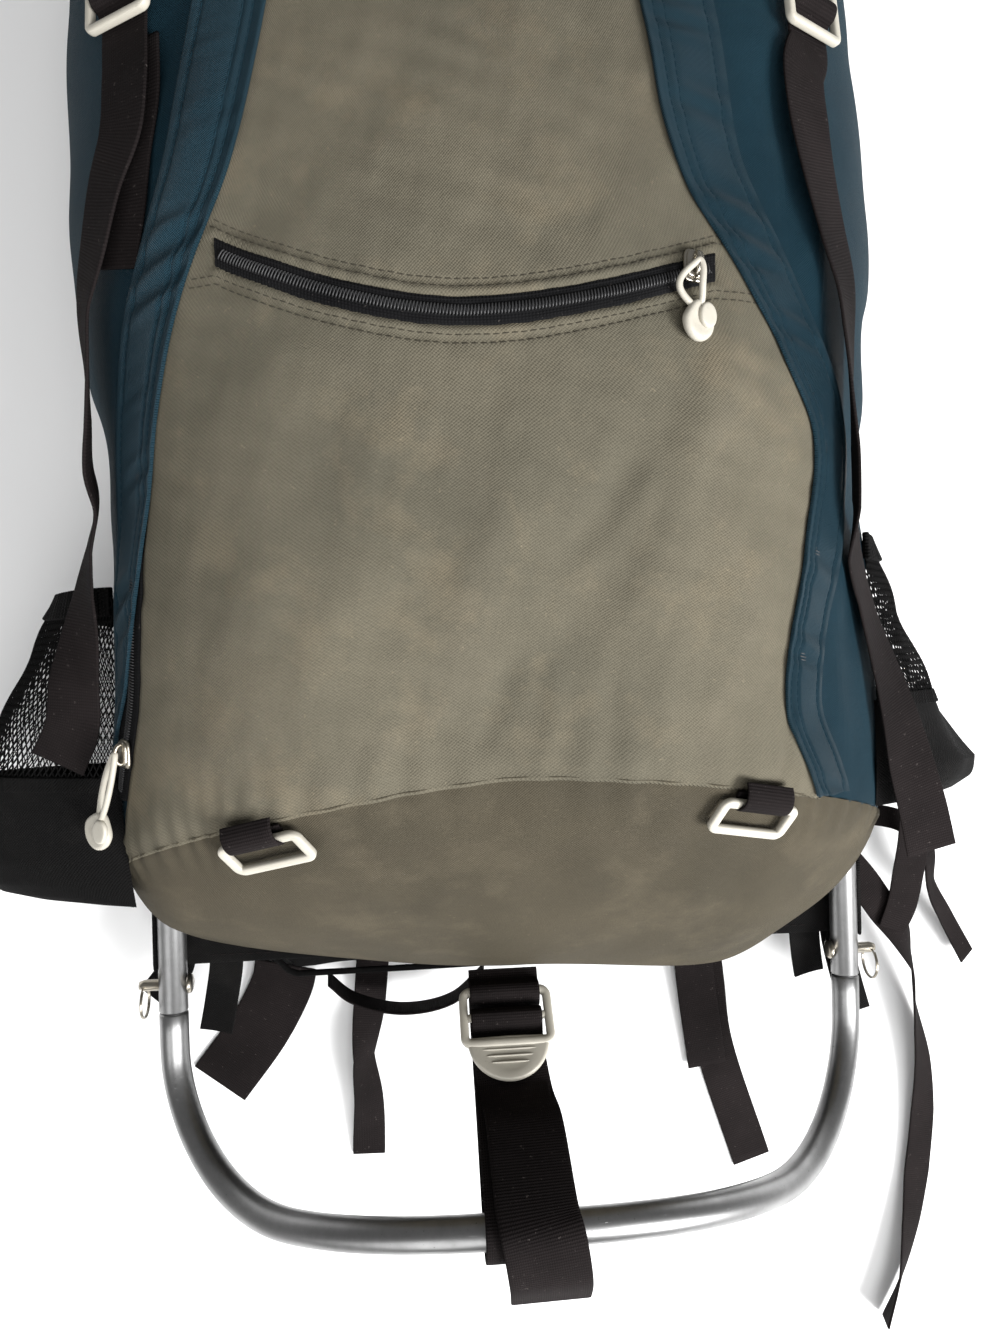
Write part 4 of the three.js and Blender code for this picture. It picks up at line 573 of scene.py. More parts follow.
def block(shape, centre, sizes, powers, rows, columns, seat, flip=False):
    """A rounded block: a superellipsoid, powers of sines and cosines below 1 making it squarer."""
    u = np.linspace(-np.pi / 2, np.pi / 2, rows)[:, None]
    v = circle(columns)[None]
    x = squared(np.cos(u), powers[0]) * squared(np.cos(v), powers[1])
    y = squared(np.cos(u), powers[0]) * squared(np.sin(v), powers[1])
    z = squared(np.sin(u), powers[0]) + 0 * v
    points = np.asarray(centre) + vector(x * sizes[0], y * sizes[1], z * sizes[2])
    return shape.grid(put(points, seat), around=True, flip=flip)


def lay(place, up, face):
    """A place and three directions as rows: across, up along the surface, and out of it."""
    face = unit(np.asarray(face, float))
    up = unit(np.asarray(up, float) - face * np.dot(up, face))
    return np.asarray(place, float), np.stack([np.cross(up, face), up, face])


def put(local, seat):
    """Points given across, up and out at a seat, moved to the pack."""
    place, axes = seat
    return place + np.asarray(local, float) @ axes


def round_path(width, low, high, radius):
    """A rectangle with round corners, as a closed run of points, anticlockwise."""
    x = width / 2 - radius
    turns = np.linspace(0, np.pi / 2, 7)
    middles = [(x, high - radius, 0), (-x, high - radius, 1), (-x, low + radius, 2), (x, low + radius, 3)]
    parts = [
        np.stack([x + radius * np.cos(turns + q * np.pi / 2), y + radius * np.sin(turns + q * np.pi / 2)], -1)
        for x, y, q in middles
    ]
    return np.concatenate(parts)


def rim(shape, outline, wide, deep, seat, bow=0.0):
    """A moulded frame: a squared oval section carried round a closed outline."""
    path = np.concatenate([outline, np.zeros((len(outline), 1))], 1)
    path[:, 2] += bow * (1 - (outline[:, 0] / np.abs(outline[:, 0]).max()) ** 2)
    along = slopes_of(path, True)
    outward = unit(np.cross(along, [0, 0, 1.0]))
    a = circle(14)
    c, s = squared(np.cos(a), 0.6), squared(np.sin(a), 0.6)
    rings = (
        path[:, None]
        + outward[:, None] * (s * wide / 2)[None, :, None]
        + np.array([0, 0, 1.0]) * (c * deep / 2)[None, :, None]
    )
    rings = np.concatenate([rings, rings[:1]])
    return shape.grid(put(rings, seat), around=True)


def rod(shape, start, end, wide, deep, seat, power=0.6, sides=14):
    """A moulded bar between two local points, with a squared oval section and slightly drawn-in ends."""
    t = np.array([0.0, 0.04, 0.12, 0.5, 0.88, 0.96, 1.0])
    size = np.array([0.5, 0.85, 1, 1, 1, 0.85, 0.5])
    start, end = np.asarray(start, float), np.asarray(end, float)
    path = start + (end - start) * t[:, None]
    along = unit(end - start)
    out = np.array([0, 0, 1.0])
    side = np.cross(along, out)
    a = circle(sides)
    c, s = squared(np.cos(a), power), squared(np.sin(a), power)
    rings = (
        path[:, None]
        + size[:, None, None] * (out * (c * deep / 2)[None, :, None] - side * (s * wide / 2)[None, :, None])
    )
    return shape.grid(put(rings, seat), around=True, ends=True)


def plate(shape, outline, deep, seat, soft=0.8, lift=0.0, dish=0.0):
    """A moulded plate: rings shrink from a convex outline towards its middle, rounded at the rim."""
    middle = outline.mean(0)
    reach = np.linalg.norm(outline - middle, axis=1).mean()
    turns = np.linspace(0, np.pi / 2, 4)
    inset = [0.0, 0.5] + [1 - soft * (1 - np.sin(a)) / reach for a in turns]
    height = [deep / 2 - dish, deep / 2 - dish * 0.5] + [deep / 2 - soft * (1 - np.cos(a)) for a in turns]
    rows = list(zip(inset, height)) + [(k, -h) for k, h in zip(inset[::-1], height[::-1])]
    rings = [
        np.concatenate([middle + (outline - middle) * k, np.full((len(outline), 1), h + lift)], 1)
        for k, h in rows
    ]
    return shape.grid(put(np.stack(rings)[::-1], seat), around=True)


class Signal:
    """A node's output socket; sums, differences and products of signals add Math nodes."""

    def __init__(self, finish, socket):
        self.finish, self.socket = finish, socket

    def maths(self, operation, *others):
        inputs = dict(enumerate([self, *others]))
        return self.finish.node("ShaderNodeMath", {"operation": operation}, inputs)

    def swapped(self, operation, first):
        return self.finish.node("ShaderNodeMath", {"operation": operation}, {0: first, 1: self})

    def __add__(self, other):
        return self.maths("ADD", other)

    def __sub__(self, other):
        return self.maths("SUBTRACT", other)

    def __mul__(self, other):
        return self.maths("MULTIPLY", other)

    def __radd__(self, other):
        return self.swapped("ADD", other)

    def __rsub__(self, other):
        return self.swapped("SUBTRACT", other)

    def wave(self):
        return self.maths("SINE")

    def size(self):
        return self.maths("ABSOLUTE")


class Finish:
    """One material: its node tree, its shader and the few node types that its recipe uses."""

    def __init__(self, name, roughness=0.7, **constants):
        self.material = bpy.data.materials.new(name)
        self.material.use_nodes = True
        self.tree = self.material.node_tree
        self.shader = self.tree.nodes["Principled BSDF"]
        self.shader.inputs["Roughness"].default_value = roughness
        for key, value in constants.items():
            self.shader.inputs[key.replace("_", " ")].default_value = value

    def node(self, kind, settings=None, inputs=None, output=0):
        made = self.tree.nodes.new(kind)
        for key, value in (settings or {}).items():
            setattr(made, key, value)
        for key, value in (inputs or {}).items():
            self.join(made.inputs[key], value)
        return Signal(self, made.outputs[output])

    def join(self, socket, value):
        if isinstance(value, Signal):
            self.tree.links.new(value.socket, socket)
        else:
            socket.default_value = value

    def place(self):
        return self.node("ShaderNodeTexCoord", output="Object")

    def uv(self):
        split = self.node("ShaderNodeUVMap", {"uv_map": "cloth"})
        u = self.node("ShaderNodeSeparateXYZ", inputs={0: split}, output=0)
        v = self.node("ShaderNodeSeparateXYZ", inputs={0: split}, output=1)
        return u, v

    def noise(self, scale, detail=3.0, rough=0.55, where=None):
        inputs = {"Vector": where or self.place(), "Scale": scale, "Detail": detail, "Roughness": rough}
        return self.node("ShaderNodeTexNoise", inputs=inputs, output="Fac")

    def stretched(self, sizes, turn=0.0):
        inputs = {"Vector": self.place(), "Scale": sizes, "Rotation": (0.0, 0.0, turn)}
        return self.node("ShaderNodeMapping", inputs=inputs)

    def step(self, value, low, high):
        inputs = {"Value": value, "From Min": low, "From Max": high}
        return self.node("ShaderNodeMapRange", {"clamp": True}, inputs)

    def mix(self, factor, first, second):
        first, second = [c if isinstance(c, Signal) else (*c, 1.0) for c in (first, second)]
        return self.node("ShaderNodeMix", {"data_type": "RGBA"}, {0: factor, 6: first, 7: second}, 2)

    def finish(self, color, rough=None, height=None, depth=0.0003):
        self.join(self.shader.inputs["Base Color"], color)
        if rough is not None:
            self.join(self.shader.inputs["Roughness"], rough)
        if height is not None:
            inputs = {"Height": height, "Distance": depth, "Strength": 1.0}
            self.join(self.shader.inputs["Normal"], self.node("ShaderNodeBump", inputs=inputs))
        return self.material


def woven(
    name, light, dark, dusty,
    pitch=0.95, roughness=0.85, depth=0.0003, wear=0.5, gloss=0.08, crumple=1.2,
):
    """Coated cloth: a fine twill in the bump, slow fading, rubbed patches and a little lint."""
    f = Finish(name, roughness, Specular_IOR_Level=gloss)
    u, v = f.uv()
    drift = f.noise(260, 2.0) * 1.4
    pace = 2 * math.pi / pitch
    warp = ((u + v) * (pace / math.sqrt(2)) + drift).wave()
    weft = ((u - v) * (pace / math.sqrt(2)) + drift).wave()
    weave = (warp * 0.6 + weft * 0.4) * 0.5 + 0.5
    fade = f.noise(11, 4.0, 0.6)
    rubbed = f.step(f.noise(26, 5.0, 0.65), 0.52, 0.72) * wear
    grain = f.noise(900, 2.0, 0.7)
    base = f.mix(f.step(fade, 0.3, 0.72), dark, light)
    base = f.mix(rubbed * 0.6, base, dusty)
    base = f.mix(f.step(grain * 0.6 + weave * 0.4, 0.3, 0.75) * 0.4, base, tuple(0.45 * c for c in dark))
    flecks = f.step(f.noise(420, 2.0, 0.5), 0.7, 0.76) * 0.2 * wear
    base = f.mix(flecks, base, tuple(min(1.0, 1.6 * c) for c in dusty))
    soft = f.noise(55, 4.0, 0.6)
    rough = roughness + (fade - 0.5) * 0.16 + rubbed * 0.06
    return f.finish(base, rough, weave * 0.5 + grain * 0.4 + soft * crumple, depth)


def webbing_finish(name, color, pale):
    """Woven webbing: ribs across its width, a fine chevron along it, darker in the grooves, fuzzy edges."""
    f = Finish(name, 0.85, Specular_IOR_Level=0.05)
    u, v = f.uv()
    chevron = ((u * 2.4).wave().size() * 1.2 + v * (2 * math.pi / 1.35)).wave()
    rows = (u * (2 * math.pi / 1.05)).wave()
    weave = (chevron * 0.6 + rows * 0.4) * 0.5 + 0.5
    fade = f.noise(16, 4.0, 0.6)
    lint = f.step(f.noise(500, 3.0, 0.6), 0.66, 0.76) * 0.3
    base = f.mix(f.step(fade, 0.35, 0.7), color, pale)
    base = f.mix(weave * 0.5, base, tuple(0.35 * c for c in color))
    base = f.mix(lint, base, (0.16, 0.14, 0.13))
    return f.finish(base, 0.8 + fade * 0.15, weave * 0.8 + f.noise(700, 2.0) * 0.4, 0.0003)


def plastic_finish(name, color, shade):
    """Moulded plastic: a faint grain, rubbed smoother in places, with small grey scuffs."""
    f = Finish(name, 0.45, Specular_IOR_Level=0.45)
    fade = f.noise(45, 4.0, 0.6)
    scuff = f.step(f.noise(0.9, 6.0, 0.7, f.stretched((260, 900, 400), 0.5)), 0.62, 0.7)
    base = f.mix(f.step(fade, 0.3, 0.75), color, shade)
    base = f.mix(scuff * 0.35, base, tuple(0.55 * c for c in shade))
    return f.finish(base, 0.4 + fade * 0.2 + scuff * 0.15, f.noise(1400, 2.0) * 0.5 + scuff * 0.5, 0.00008)


def metal_finish(name, color, dull, roughness, pace, depth=0.00005):
    """Worn metal: fine drawn lines, dull patches, small scratches and specks."""
    f = Finish(name, roughness, Metallic=1.0)
    lines = f.noise(1.0, 3.0, 0.6, f.stretched(pace))
    patch = f.noise(28, 5.0, 0.65)
    scratch = f.step(f.noise(1.0, 4.0, 0.6, f.stretched((130, 2100, 900), 0.9)), 0.66, 0.7)
    speck = f.step(f.noise(650, 2.0, 0.5), 0.7, 0.78)
    base = f.mix(f.step(patch, 0.35, 0.7), color, dull)
    base = f.mix(speck * 0.5, base, tuple(0.35 * c for c in dull))
    rough = roughness + (patch - 0.5) * 0.22 + scratch * 0.15 + speck * 0.2
    return f.finish(base, rough, lines * 0.6 + scratch * 0.5, depth)


def net_finish(name):
    """Padded mesh cloth: round pores in a staggered net, painted darker as shade in the holes, worn a little
    grey on the ridges.
    """
    f = Finish(name, 0.9, Specular_IOR_Level=0.2)
    u, v = f.uv()
    pace = 2 * math.pi / 2.6
    pore = (u * pace).wave() * (v * pace).wave()
    fade = f.noise(14, 4.0, 0.6)
    # The pores get a darker colour than the net around them: painted shade in the holes.
    base = f.mix(f.step(pore, 0.1, 0.5), (0.03, 0.03, 0.032), (0.006, 0.006, 0.007))
    base = f.mix(f.step(fade, 0.5, 0.75) * 0.4, base, (0.06, 0.058, 0.055))
    return f.finish(base, 0.88 + fade * 0.1, 1 - f.step(pore, 0.0, 0.6) + f.noise(800, 2.0) * 0.3, 0.0006)


SAGES = (0.135, 0.12, 0.088), (0.09, 0.083, 0.062), (0.19, 0.158, 0.108)
SAGE = woven("sage_cloth", *SAGES, wear=0.75, depth=0.0005)
OLIVES = (0.068, 0.058, 0.04), (0.047, 0.041, 0.029), (0.11, 0.093, 0.065)
OLIVE = woven("olive_cloth", *OLIVES, wear=0.7, depth=0.0005)
BLUES = (0.014, 0.04, 0.057), (0.008, 0.025, 0.037), (0.03, 0.062, 0.082)
TEAL = woven("teal_cloth", *BLUES, pitch=0.7, roughness=0.45, depth=0.0012, wear=0.3, gloss=0.16, crumple=2.0)
SHELL = woven("shell_cloth", *BLUES, 0.7, 0.6, depth=0.0012, wear=0.3, gloss=0.05, crumple=2.0)
BLACKS = (0.006, 0.0055, 0.0055), (0.003, 0.003, 0.003), (0.03, 0.028, 0.026)
BLACK = woven("black_cloth", *BLACKS, pitch=1.1, wear=0.35, depth=0.0008)
THREAD_GREYS = (0.07, 0.062, 0.045), (0.04, 0.036, 0.028), (0.11, 0.1, 0.08)
THREAD_SAGE = woven("sage_thread", *THREAD_GREYS, pitch=0.4, wear=0.2)
THREAD_BLUES = (0.012, 0.034, 0.05), (0.006, 0.02, 0.03), (0.03, 0.07, 0.09)
THREAD_TEAL = woven("teal_thread", *THREAD_BLUES, pitch=0.4, wear=0.2)
NET_GREYS = (0.014, 0.0135, 0.0135), (0.007, 0.007, 0.007), (0.05, 0.048, 0.045)
NET = woven("net_cord", *NET_GREYS, pitch=0.5, wear=0.3)
SPACER = net_finish("spacer_mesh")
WEBBING = webbing_finish("black_webbing", (0.009, 0.0073, 0.0073), (0.018, 0.0145, 0.0145))
ZIP_CLOTH = webbing_finish("zip_tape", (0.006, 0.006, 0.0065), (0.01, 0.01, 0.0105))
TEETH = plastic_finish("zip_teeth", (0.03, 0.03, 0.031), (0.015, 0.015, 0.016))
PLASTIC = plastic_finish("grey_plastic", (0.44, 0.415, 0.355), (0.36, 0.34, 0.29))
ALUMINIUM = metal_finish("drawn_aluminium", (0.3, 0.3, 0.3), (0.2, 0.2, 0.2), 0.36, (60, 3, 900))
STEEL = metal_finish("plated_steel", (0.5, 0.475, 0.42), (0.26, 0.225, 0.17), 0.28, (200, 200, 200))


def stitched(name, rows, thread, slot, **how):
    """One piece of all the stitch rows that share a thread."""
    shape = Shape()
    for path, normals in rows:
        stitches(shape, path, normals, **how)
    return make(name, shape, thread)


# The camera stands above the pack, nearly square to it, turned 5 degrees and rolled 1.5.
CAMERA_AT = np.array([-55.5, 175.0, 560.0])
YAW, ROLL = math.radians(5), math.radians(1.5)


def set_camera():
    """A phone-like camera: 26 mm lens for a 36 mm long side, standing at the measured place."""
    flat = Vector((math.cos(YAW), 0, math.sin(YAW)))
    tall = Vector((0, 1, 0))
    right = flat * math.cos(ROLL) - tall * math.sin(ROLL)
    up = tall * math.cos(ROLL) + flat * math.sin(ROLL)
    back = right.cross(up)
    data = bpy.data.cameras.new("camera")
    data.lens = 26
    data.sensor_width = 36
    camera = bpy.data.objects.new("camera", data)
    bpy.context.scene.collection.objects.link(camera)
    turn = Matrix((right, up, back)).transposed().to_4x4()
    camera.matrix_world = Matrix.Translation(Vector(metres(CAMERA_AT))) @ turn
    data.clip_start = 0.01
    bpy.context.scene.camera = camera


def set_light():
    """A pale floor, a large soft key from the right and near side, a broad fill and a pale sky."""
    floor = bpy.data.meshes.new("floor")
    corners = [(-4, -4, 0), (4, -4, 0), (4, 4, 0), (-4, 4, 0)]
    floor.from_pydata(corners, [], [(0, 1, 2, 3)])
    ground = bpy.data.objects.new("floor", floor)
    bpy.context.scene.collection.objects.link(ground)
    f = Finish("pale_floor", 0.9)
    floor.materials.append(f.finish(f.mix(f.noise(3, 2.0), (0.83, 0.83, 0.83), (0.86, 0.86, 0.86))))
    for name, place, aim, size, watts in (
        ("key", (1.5, -1.3, 1.7), (0.1, -0.15, 0.0), 1.1, 140),
        ("fill", (-1.3, -1.8, 1.9), (0.0, -0.2, 0.0), 2.0, 34),
        ("top", (0.3, -1.0, 2.4), (0.1, -0.2, 0.0), 1.2, 32),
    ):
        data = bpy.data.lights.new(name, "AREA")
        data.size = size
        data.energy = watts
        lamp = bpy.data.objects.new(name, data)
        bpy.context.scene.collection.objects.link(lamp)
        lamp.location = place
        lamp.rotation_euler = (Vector(aim) - Vector(place)).to_track_quat("-Z", "Y").to_euler()
    world = bpy.data.worlds.new("studio")
    world.use_nodes = True
    world.node_tree.nodes["Background"].inputs["Color"].default_value = (1.0, 1.0, 1.0, 1.0)
    world.node_tree.nodes["Background"].inputs["Strength"].default_value = 0.22
    bpy.context.scene.world = world
    bpy.context.scene.view_settings.view_transform = "Standard"


set_camera()
set_light()


def frame_tubes():
    """The bent side tube and arch, the bowed hoop, the crossbars with their welds and the joint collars."""
    upper = Shape()
    turns = np.linspace(np.pi, np.pi / 2, 26)
    inner = HALF_FRAME - ARCH_RADIUS
    rise = FRAME_HEIGHT - ARCH_RADIUS
    bent = vector(-inner + ARCH_RADIUS * np.cos(turns), rise + ARCH_RADIUS * np.sin(turns), 0 * turns)
    start = np.array([[-HALF_FRAME, -JOINT_DROP, 0], [-HALF_FRAME, -JOINT_DROP + 0.8, 0]])
    half = np.concatenate([start, bent])
    path = np.concatenate([half, half[::-1] * [-1, 1, 1]])
    size = np.full(len(path), TUBE_R)
    size[[0, -1]] = TUBE_R - 0.7
    tube(upper, path, size, 40)
    for share in (0.13, 0.47, 0.8):
        y = share * FRAME_HEIGHT
        x = np.linspace(-HALF_FRAME + 2, HALF_FRAME - 2, 41)
        x = np.concatenate([x, np.sign(x[1:-1]) * (HALF_FRAME - np.linspace(TUBE_R - 3, TUBE_R + 6, 39))])
        x = np.sort(x)
        off = HALF_FRAME - np.abs(x)
        radius = 6.35 + 1.6 * np.exp(-(((off - TUBE_R) / 2.0) ** 2))
        tube(upper, vector(x, y, 0 * x), radius, 28)
    make("frame_tube", upper, ALUMINIUM, ["frame_upper"])
    lower = Shape()
    turns = np.linspace(np.pi, 1.5 * np.pi, 30)
    x = np.concatenate([-(HALF_FRAME - HOOP_CORNER) + HOOP_CORNER * np.cos(turns), np.linspace(-121, 0, 32)])
    y = np.concatenate([HOOP_CORNER - HOOP_DROP + HOOP_CORNER * np.sin(turns), np.full(32, -HOOP_DROP)])
    x, y = np.concatenate([x, -x[-2::-1]]), np.concatenate([y, y[-2::-1]])
    z = HOOP_BOW * (1 - (x / HALF_FRAME) ** 2)
    path = vector(x, y + HOOP_RISE * np.maximum(z / HOOP_BOW, 0) ** 2.5, z)
    foot = vector(-HALF_FRAME, np.array([-JOINT_DROP - GAP, -JOINT_DROP - 1.4, -24]), 0)
    path = np.concatenate([foot, path, foot[::-1] * [-1, 1, 1]])
    smooth = path.copy()
    for _ in range(3):
        smooth[2:-2] = (smooth[1:-3] + 2 * smooth[2:-2] + smooth[3:-1]) / 4
    size = np.full(len(path), TUBE_R)
    size[[0, -1]] = TUBE_R - 0.7
    tube(lower, smooth, size, 40)
    for side in (-1, 1):
        spigot = vector(side * HALF_FRAME, np.linspace(-20, -JOINT_DROP + SPIGOT - 2, 4), 0)
        tube(lower, spigot, TUBE_R - 1.9, 24)
    make("hoop_tube", lower, ALUMINIUM, ["frame_lower"])


def clevis_pins():
    """The clevis pins: a shank with a domed head turned about X, and two-turn split rings in their eyes."""
    for hand, side in HANDS:
        x = side * HALF_FRAME
        head = x - side * (TUBE_R + GAP)
        profile = [(0.01, -2.6), (3.6, -2.6), (5.0, -2.0), (5.5, -0.9), (5.5, 0.0)]
        profile = np.array(profile + [(PIN_R, 0.05), (PIN_R, 24.0), (2.2, 26.9), (0.01, 27.3)])
        a = circle(28)
        r, run = profile[:, 0][:, None], profile[:, 1][:, None]
        points = vector(head + side * run + 0 * a[None], r * np.cos(a)[None], r * np.sin(a)[None])
        pin = Shape().grid(points, around=True)
        make("pin_" + hand, pin, STEEL, ["clevis_pin_" + hand], weld=True)
        eye = side * (HALF_FRAME + PIN_REACH - PIN_R)
        turn = np.linspace(0.15, 4 * np.pi - 0.3, 120)
        pitch = 1.15
        coil = vector(
            eye + pitch * (turn / (4 * np.pi) - 0.5),
            -RING_R + RING_R * np.sin(turn + 1.2),
            RING_R * np.cos(turn + 1.2),
        )
        make("ring_" + hand, tube(Shape(), coil, 0.55, 12, (1, 0, 0)), STEEL, ["split_ring_" + hand])


def girth_places(count):
    """Places round the girth, from -1 to 1, at even distances along the cloth of a middle section."""
    across = np.linspace(-1, 1, 4001)
    run = run_of(bag_point(across, np.full(across.shape, 300.0)))
    return np.interp(np.linspace(0, run[-1], count), run, across)


def shell():
    """The blue shell: rings of cloth from the hem to the collar, each closed across the flat back."""
    across = girth_places(170)
    levels = np.linspace(0, 1, 200)
    seam = seam_height(across)[None]
    body = cloth(across[None], seam + (COLLAR_AT - seam) * levels[:, None])
    shares = np.linspace(1, 0, 30)[:-1]
    foot = bottom_cloth_point(across[None], shares[:, None] + 0 * across[None])
    collar = bag_point(across[None], np.linspace(COLLAR_AT + 2, BAG_LENGTH, 6)[:, None], -2.4)
    front = np.concatenate([foot, body, collar])
    back_x = np.linspace(0, 1, 46)[1:-1]
    low, high = front[:, -1], front[:, 0]
    back = low[:, None] + (high - low)[:, None] * back_x[None, :, None]
    wave = 0.9 * ripples(back[..., 0], back[..., 1], 8, 70) * np.sin(np.pi * back_x)[None] ** 0.5
    back[..., 2] = BAG_BACK + np.maximum(0, 1 + wave)
    ring = np.concatenate([front, back], 1)
    uv = np.stack(np.meshgrid(run_of(ring[100]), run_of(ring[:, 85])), -1)
    shape = Shape().grid(ring, uv, around=True)
    rows = np.linspace(0, 1, 8)[:, None]
    top, under = foot[0], hem_point(across, 0.0, 0)
    cap = top[None] * (1 - rows[..., None]) + under[None] * rows[..., None]
    cap[..., 1] -= 4 * np.sin(np.pi * rows) * np.cos(across * np.pi / 2)[None] ** 0.5
    shape.grid(cap, np.stack(np.meshgrid(run_of(top), np.arange(8) * 2.0), -1), flip=True)
    make("bag_shell", shape, SHELL, ["bag_body"])


def lid():
    """The lid: a cap of cloth over the collar, domed and slack, with a bound lower edge."""
    across = girth_places(180)
    shape = Shape()

    def ring(along, out, shrink, wave):
        front = bag_point(across, np.full(across.shape, along), out)
        middle = front.mean(0)
        middle[2] = BAG_BACK - out
        grown = middle + (front - middle) * shrink
        slow = ripples(grown[:, 0] + along, grown[:, 2], 12, 70)
        quick = ripples(grown[:, 0], grown[:, 2] + along, 13, 24)
        extra = wave * (1.6 * slow + 0.5 * quick)
        grown = grown + unit(grown - middle) * extra[:, None]
        back = np.linspace(0, 1, 40)[1:-1][:, None]
        return np.concatenate([grown, grown[-1] + (grown[0] - grown[-1]) * back])

    skirt = np.linspace(COLLAR_AT + GAP, BAG_LENGTH, 40)
    rings = [ring(COLLAR_AT + GAP, -1.6, 1, 0)]
    for y in skirt:
        rise = y - skirt[0]
        rings.append(ring(y, 0.5 * math.exp(-((rise / 7) ** 2)), 1, 0.9 * float(ease(0, 30, rise))))
    for t in np.linspace(0, 1, 40)[1:]:
        angle = t * math.pi / 2
        rise = LID_RISE * math.sin(angle) ** 0.9
        rings.append(ring(BAG_LENGTH, 0.0, max(math.cos(angle) ** 0.55, 0.001), 0.9 * math.cos(angle)))
        rings[-1][:, 1] += rise
    rings = np.stack(rings)
    uv = np.stack(np.meshgrid(run_of(rings[20]), run_of(rings[:, 90])), -1)
    shape.grid(rings, uv, around=True)
    make("lid_cloth", shape, SHELL, ["top_lid"])
    path = rings[5][: len(across)]
    normals = unit(path - path.mean(0))
    edge = [(rings[k][: len(across)] + normals * 0.1, normals) for k in (6, 9)]
    stitched("lid_stitches", edge, THREAD_TEAL, "teal")


def front_cloth():
    """The sage front panel, from the bottom seam to the lid, with gathers along the seam."""
    s, t = np.linspace(0, 1, 170), np.linspace(0, 1, 300)

    def extra(_, across, along):
        p = bag_point(across, along, PANEL_LIFT)
        return front_extra(p[..., 0], p[..., 1], across, along)

    def left(y):
        return edge_x(y, 1)

    def right(y):
        return edge_x(y, 2)

    def foot(across):
        return seam_height(across) - 1.6

    shape = strip_cloth(Shape(), s, t, left, right, foot, PANEL_TOP, PANEL_LIFT, extra)
    make("front_cloth", shape, SAGE, ["front_panel"])


def bottom_cloth():
    """The olive bottom panel, from the seam down to the hem, turned under at its edges."""
    across = np.interp(np.linspace(0, 1, 220), [0, 1], [-PANEL_REACH, PANEL_REACH])[None]
    share = np.linspace(0.0, 1, 90)[:, None]
    gather = np.sin(2 * np.pi * across * 21 + 2.2 * np.sin(across * 17)) * np.exp(-((share / 0.12) ** 2))
    tight = -0.9 * np.exp(-((share / 0.02) ** 2))
    points = bottom_cloth_point(across, share, PANEL_LIFT, 0.6 * gather + tight)
    under = hem_point(across[0], PANEL_LIFT * 0.5, 4)[None]
    points = np.concatenate([points, under])
    uv = np.stack(np.meshgrid(run_of(points[45]), run_of(points[:, 110])), -1)
    make("bottom_cloth", Shape().grid(points, uv, flip=True), OLIVE, ["bottom_panel"])


# Places of the flaps' stitch rows, as shares of their width.
FLAP_SEAMS = (0.16, 0.3, 0.86)


def storm_flaps():
    """The blue storm flaps: strips over the side zips, puckered between their two rows of stitches."""
    rows = []
    for column, side, hand in ((1, -1, "left"), (2, 1, "right")):

        def inner(y):
            return edge_x(y, column) + side * bend(FLAP_INNER, column, y / BAG_LENGTH)

        def outer(y):
            return edge_x(y, column) + side * bend(FLAP_WIDTHS, column, y / BAG_LENGTH)

        def foot(across):
            return FLAP_FOOT[hand] + 0 * across

        def extra(ss, across, along):
            off = 1 - ss if side < 0 else ss
            pucker = np.sin(along / 2.1 + 2.4 * np.sin(along / 23) + 5 * off)
            pucker = pucker * np.sin(np.pi * np.clip(off, 0, 1)) ** 0.6
            sink = sum(np.exp(-(((off - k) / 0.035) ** 2)) for k in FLAP_SEAMS)
            edge = np.exp(-(((off - 0.02) / 0.05) ** 2))
            slack = np.minimum(ripples(along, across * 60, 31, 60) ** 2, 1.6)
            return 0.7 * pucker * slack - 0.6 * sink + 0.7 * edge + 0.5

        edges = (outer, inner) if side < 0 else (inner, outer)
        s, t = np.linspace(0, 1, 50), np.linspace(0, 1, 420)
        shape = strip_cloth(Shape(), s, t, *edges, foot, PANEL_TOP, FLAP_LIFT, extra)
        make("flap_cloth_" + hand, shape, TEAL, ["storm_flap_" + hand])
        t = np.linspace(0.005, 1, 320)
        for off in FLAP_SEAMS:
            s = np.full(t.shape, 1 - off if side < 0 else off)
            across, along = strip_place(s, t, *edges, foot, PANEL_TOP)
            lift = extra(s, across, along)
            rows.append((cloth(across, along, FLAP_LIFT, lift + 0.12), bag_normal(across, along)))
    stitched("flap_stitches", rows, THREAD_TEAL, "teal")


def on_bag(x, y):
    """Girth and length of the cloth seen from above at x, y, found by stepping along the bag."""
    x, y = np.broadcast_arrays(np.asarray(x, float), y)
    along = y + 0.0
    for _ in range(6):
        across = across_at(x, along)
        along = along + y - bag_point(across, along)[..., 1]
    return across, along


def bag_seat(across, along, lift, ride=True):
    """A seat on the bag: a place out from its cloth, with the directions across, up and out."""
    side = bag_point(across + 0.01, along) - bag_point(across - 0.01, along)
    up = bag_point(across, along + 5) - bag_point(across, along - 5)
    face = unit(np.cross(unit(side), unit(up)))
    place = bag_point(across, along)
    return lay(place + face * (lift + (float(relief(place)) if ride else 0)), up, face)


def run_on(seat, run):
    """Points given along and out from a seat, with the seat's face at each of them."""
    place, axes = seat
    run = np.asarray(run, float)
    return place + run[:, :1] * axes[1] + run[:, 1:2] * axes[2], np.repeat(axes[2:], len(run), 0)


def coil(shape, path, normals, wide, high, pitch=1.3, thick=0.6):
    """A zip's coil: a thread wound round the path as a flat oval helix."""
    run = run_of(path)
    at = np.arange(0, run[-1], pitch / 10)
    place = along_run(path, run, at)
    face = unit(along_run(normals, run, at))
    side = np.cross(slopes_of(place), face)
    a = 2 * np.pi * at / pitch
    helix = place + side * (wide * np.cos(a))[:, None] + face * (high * np.sin(a))[:, None]
    return tube(shape, helix, thick / 2, 5, (0.3, 0.5, 1))


ZIP_LEFT, ZIP_RIGHT = -127.0, 66.0
ZIP_HEIGHT = 337.0
ZIP_SAG = 24.0


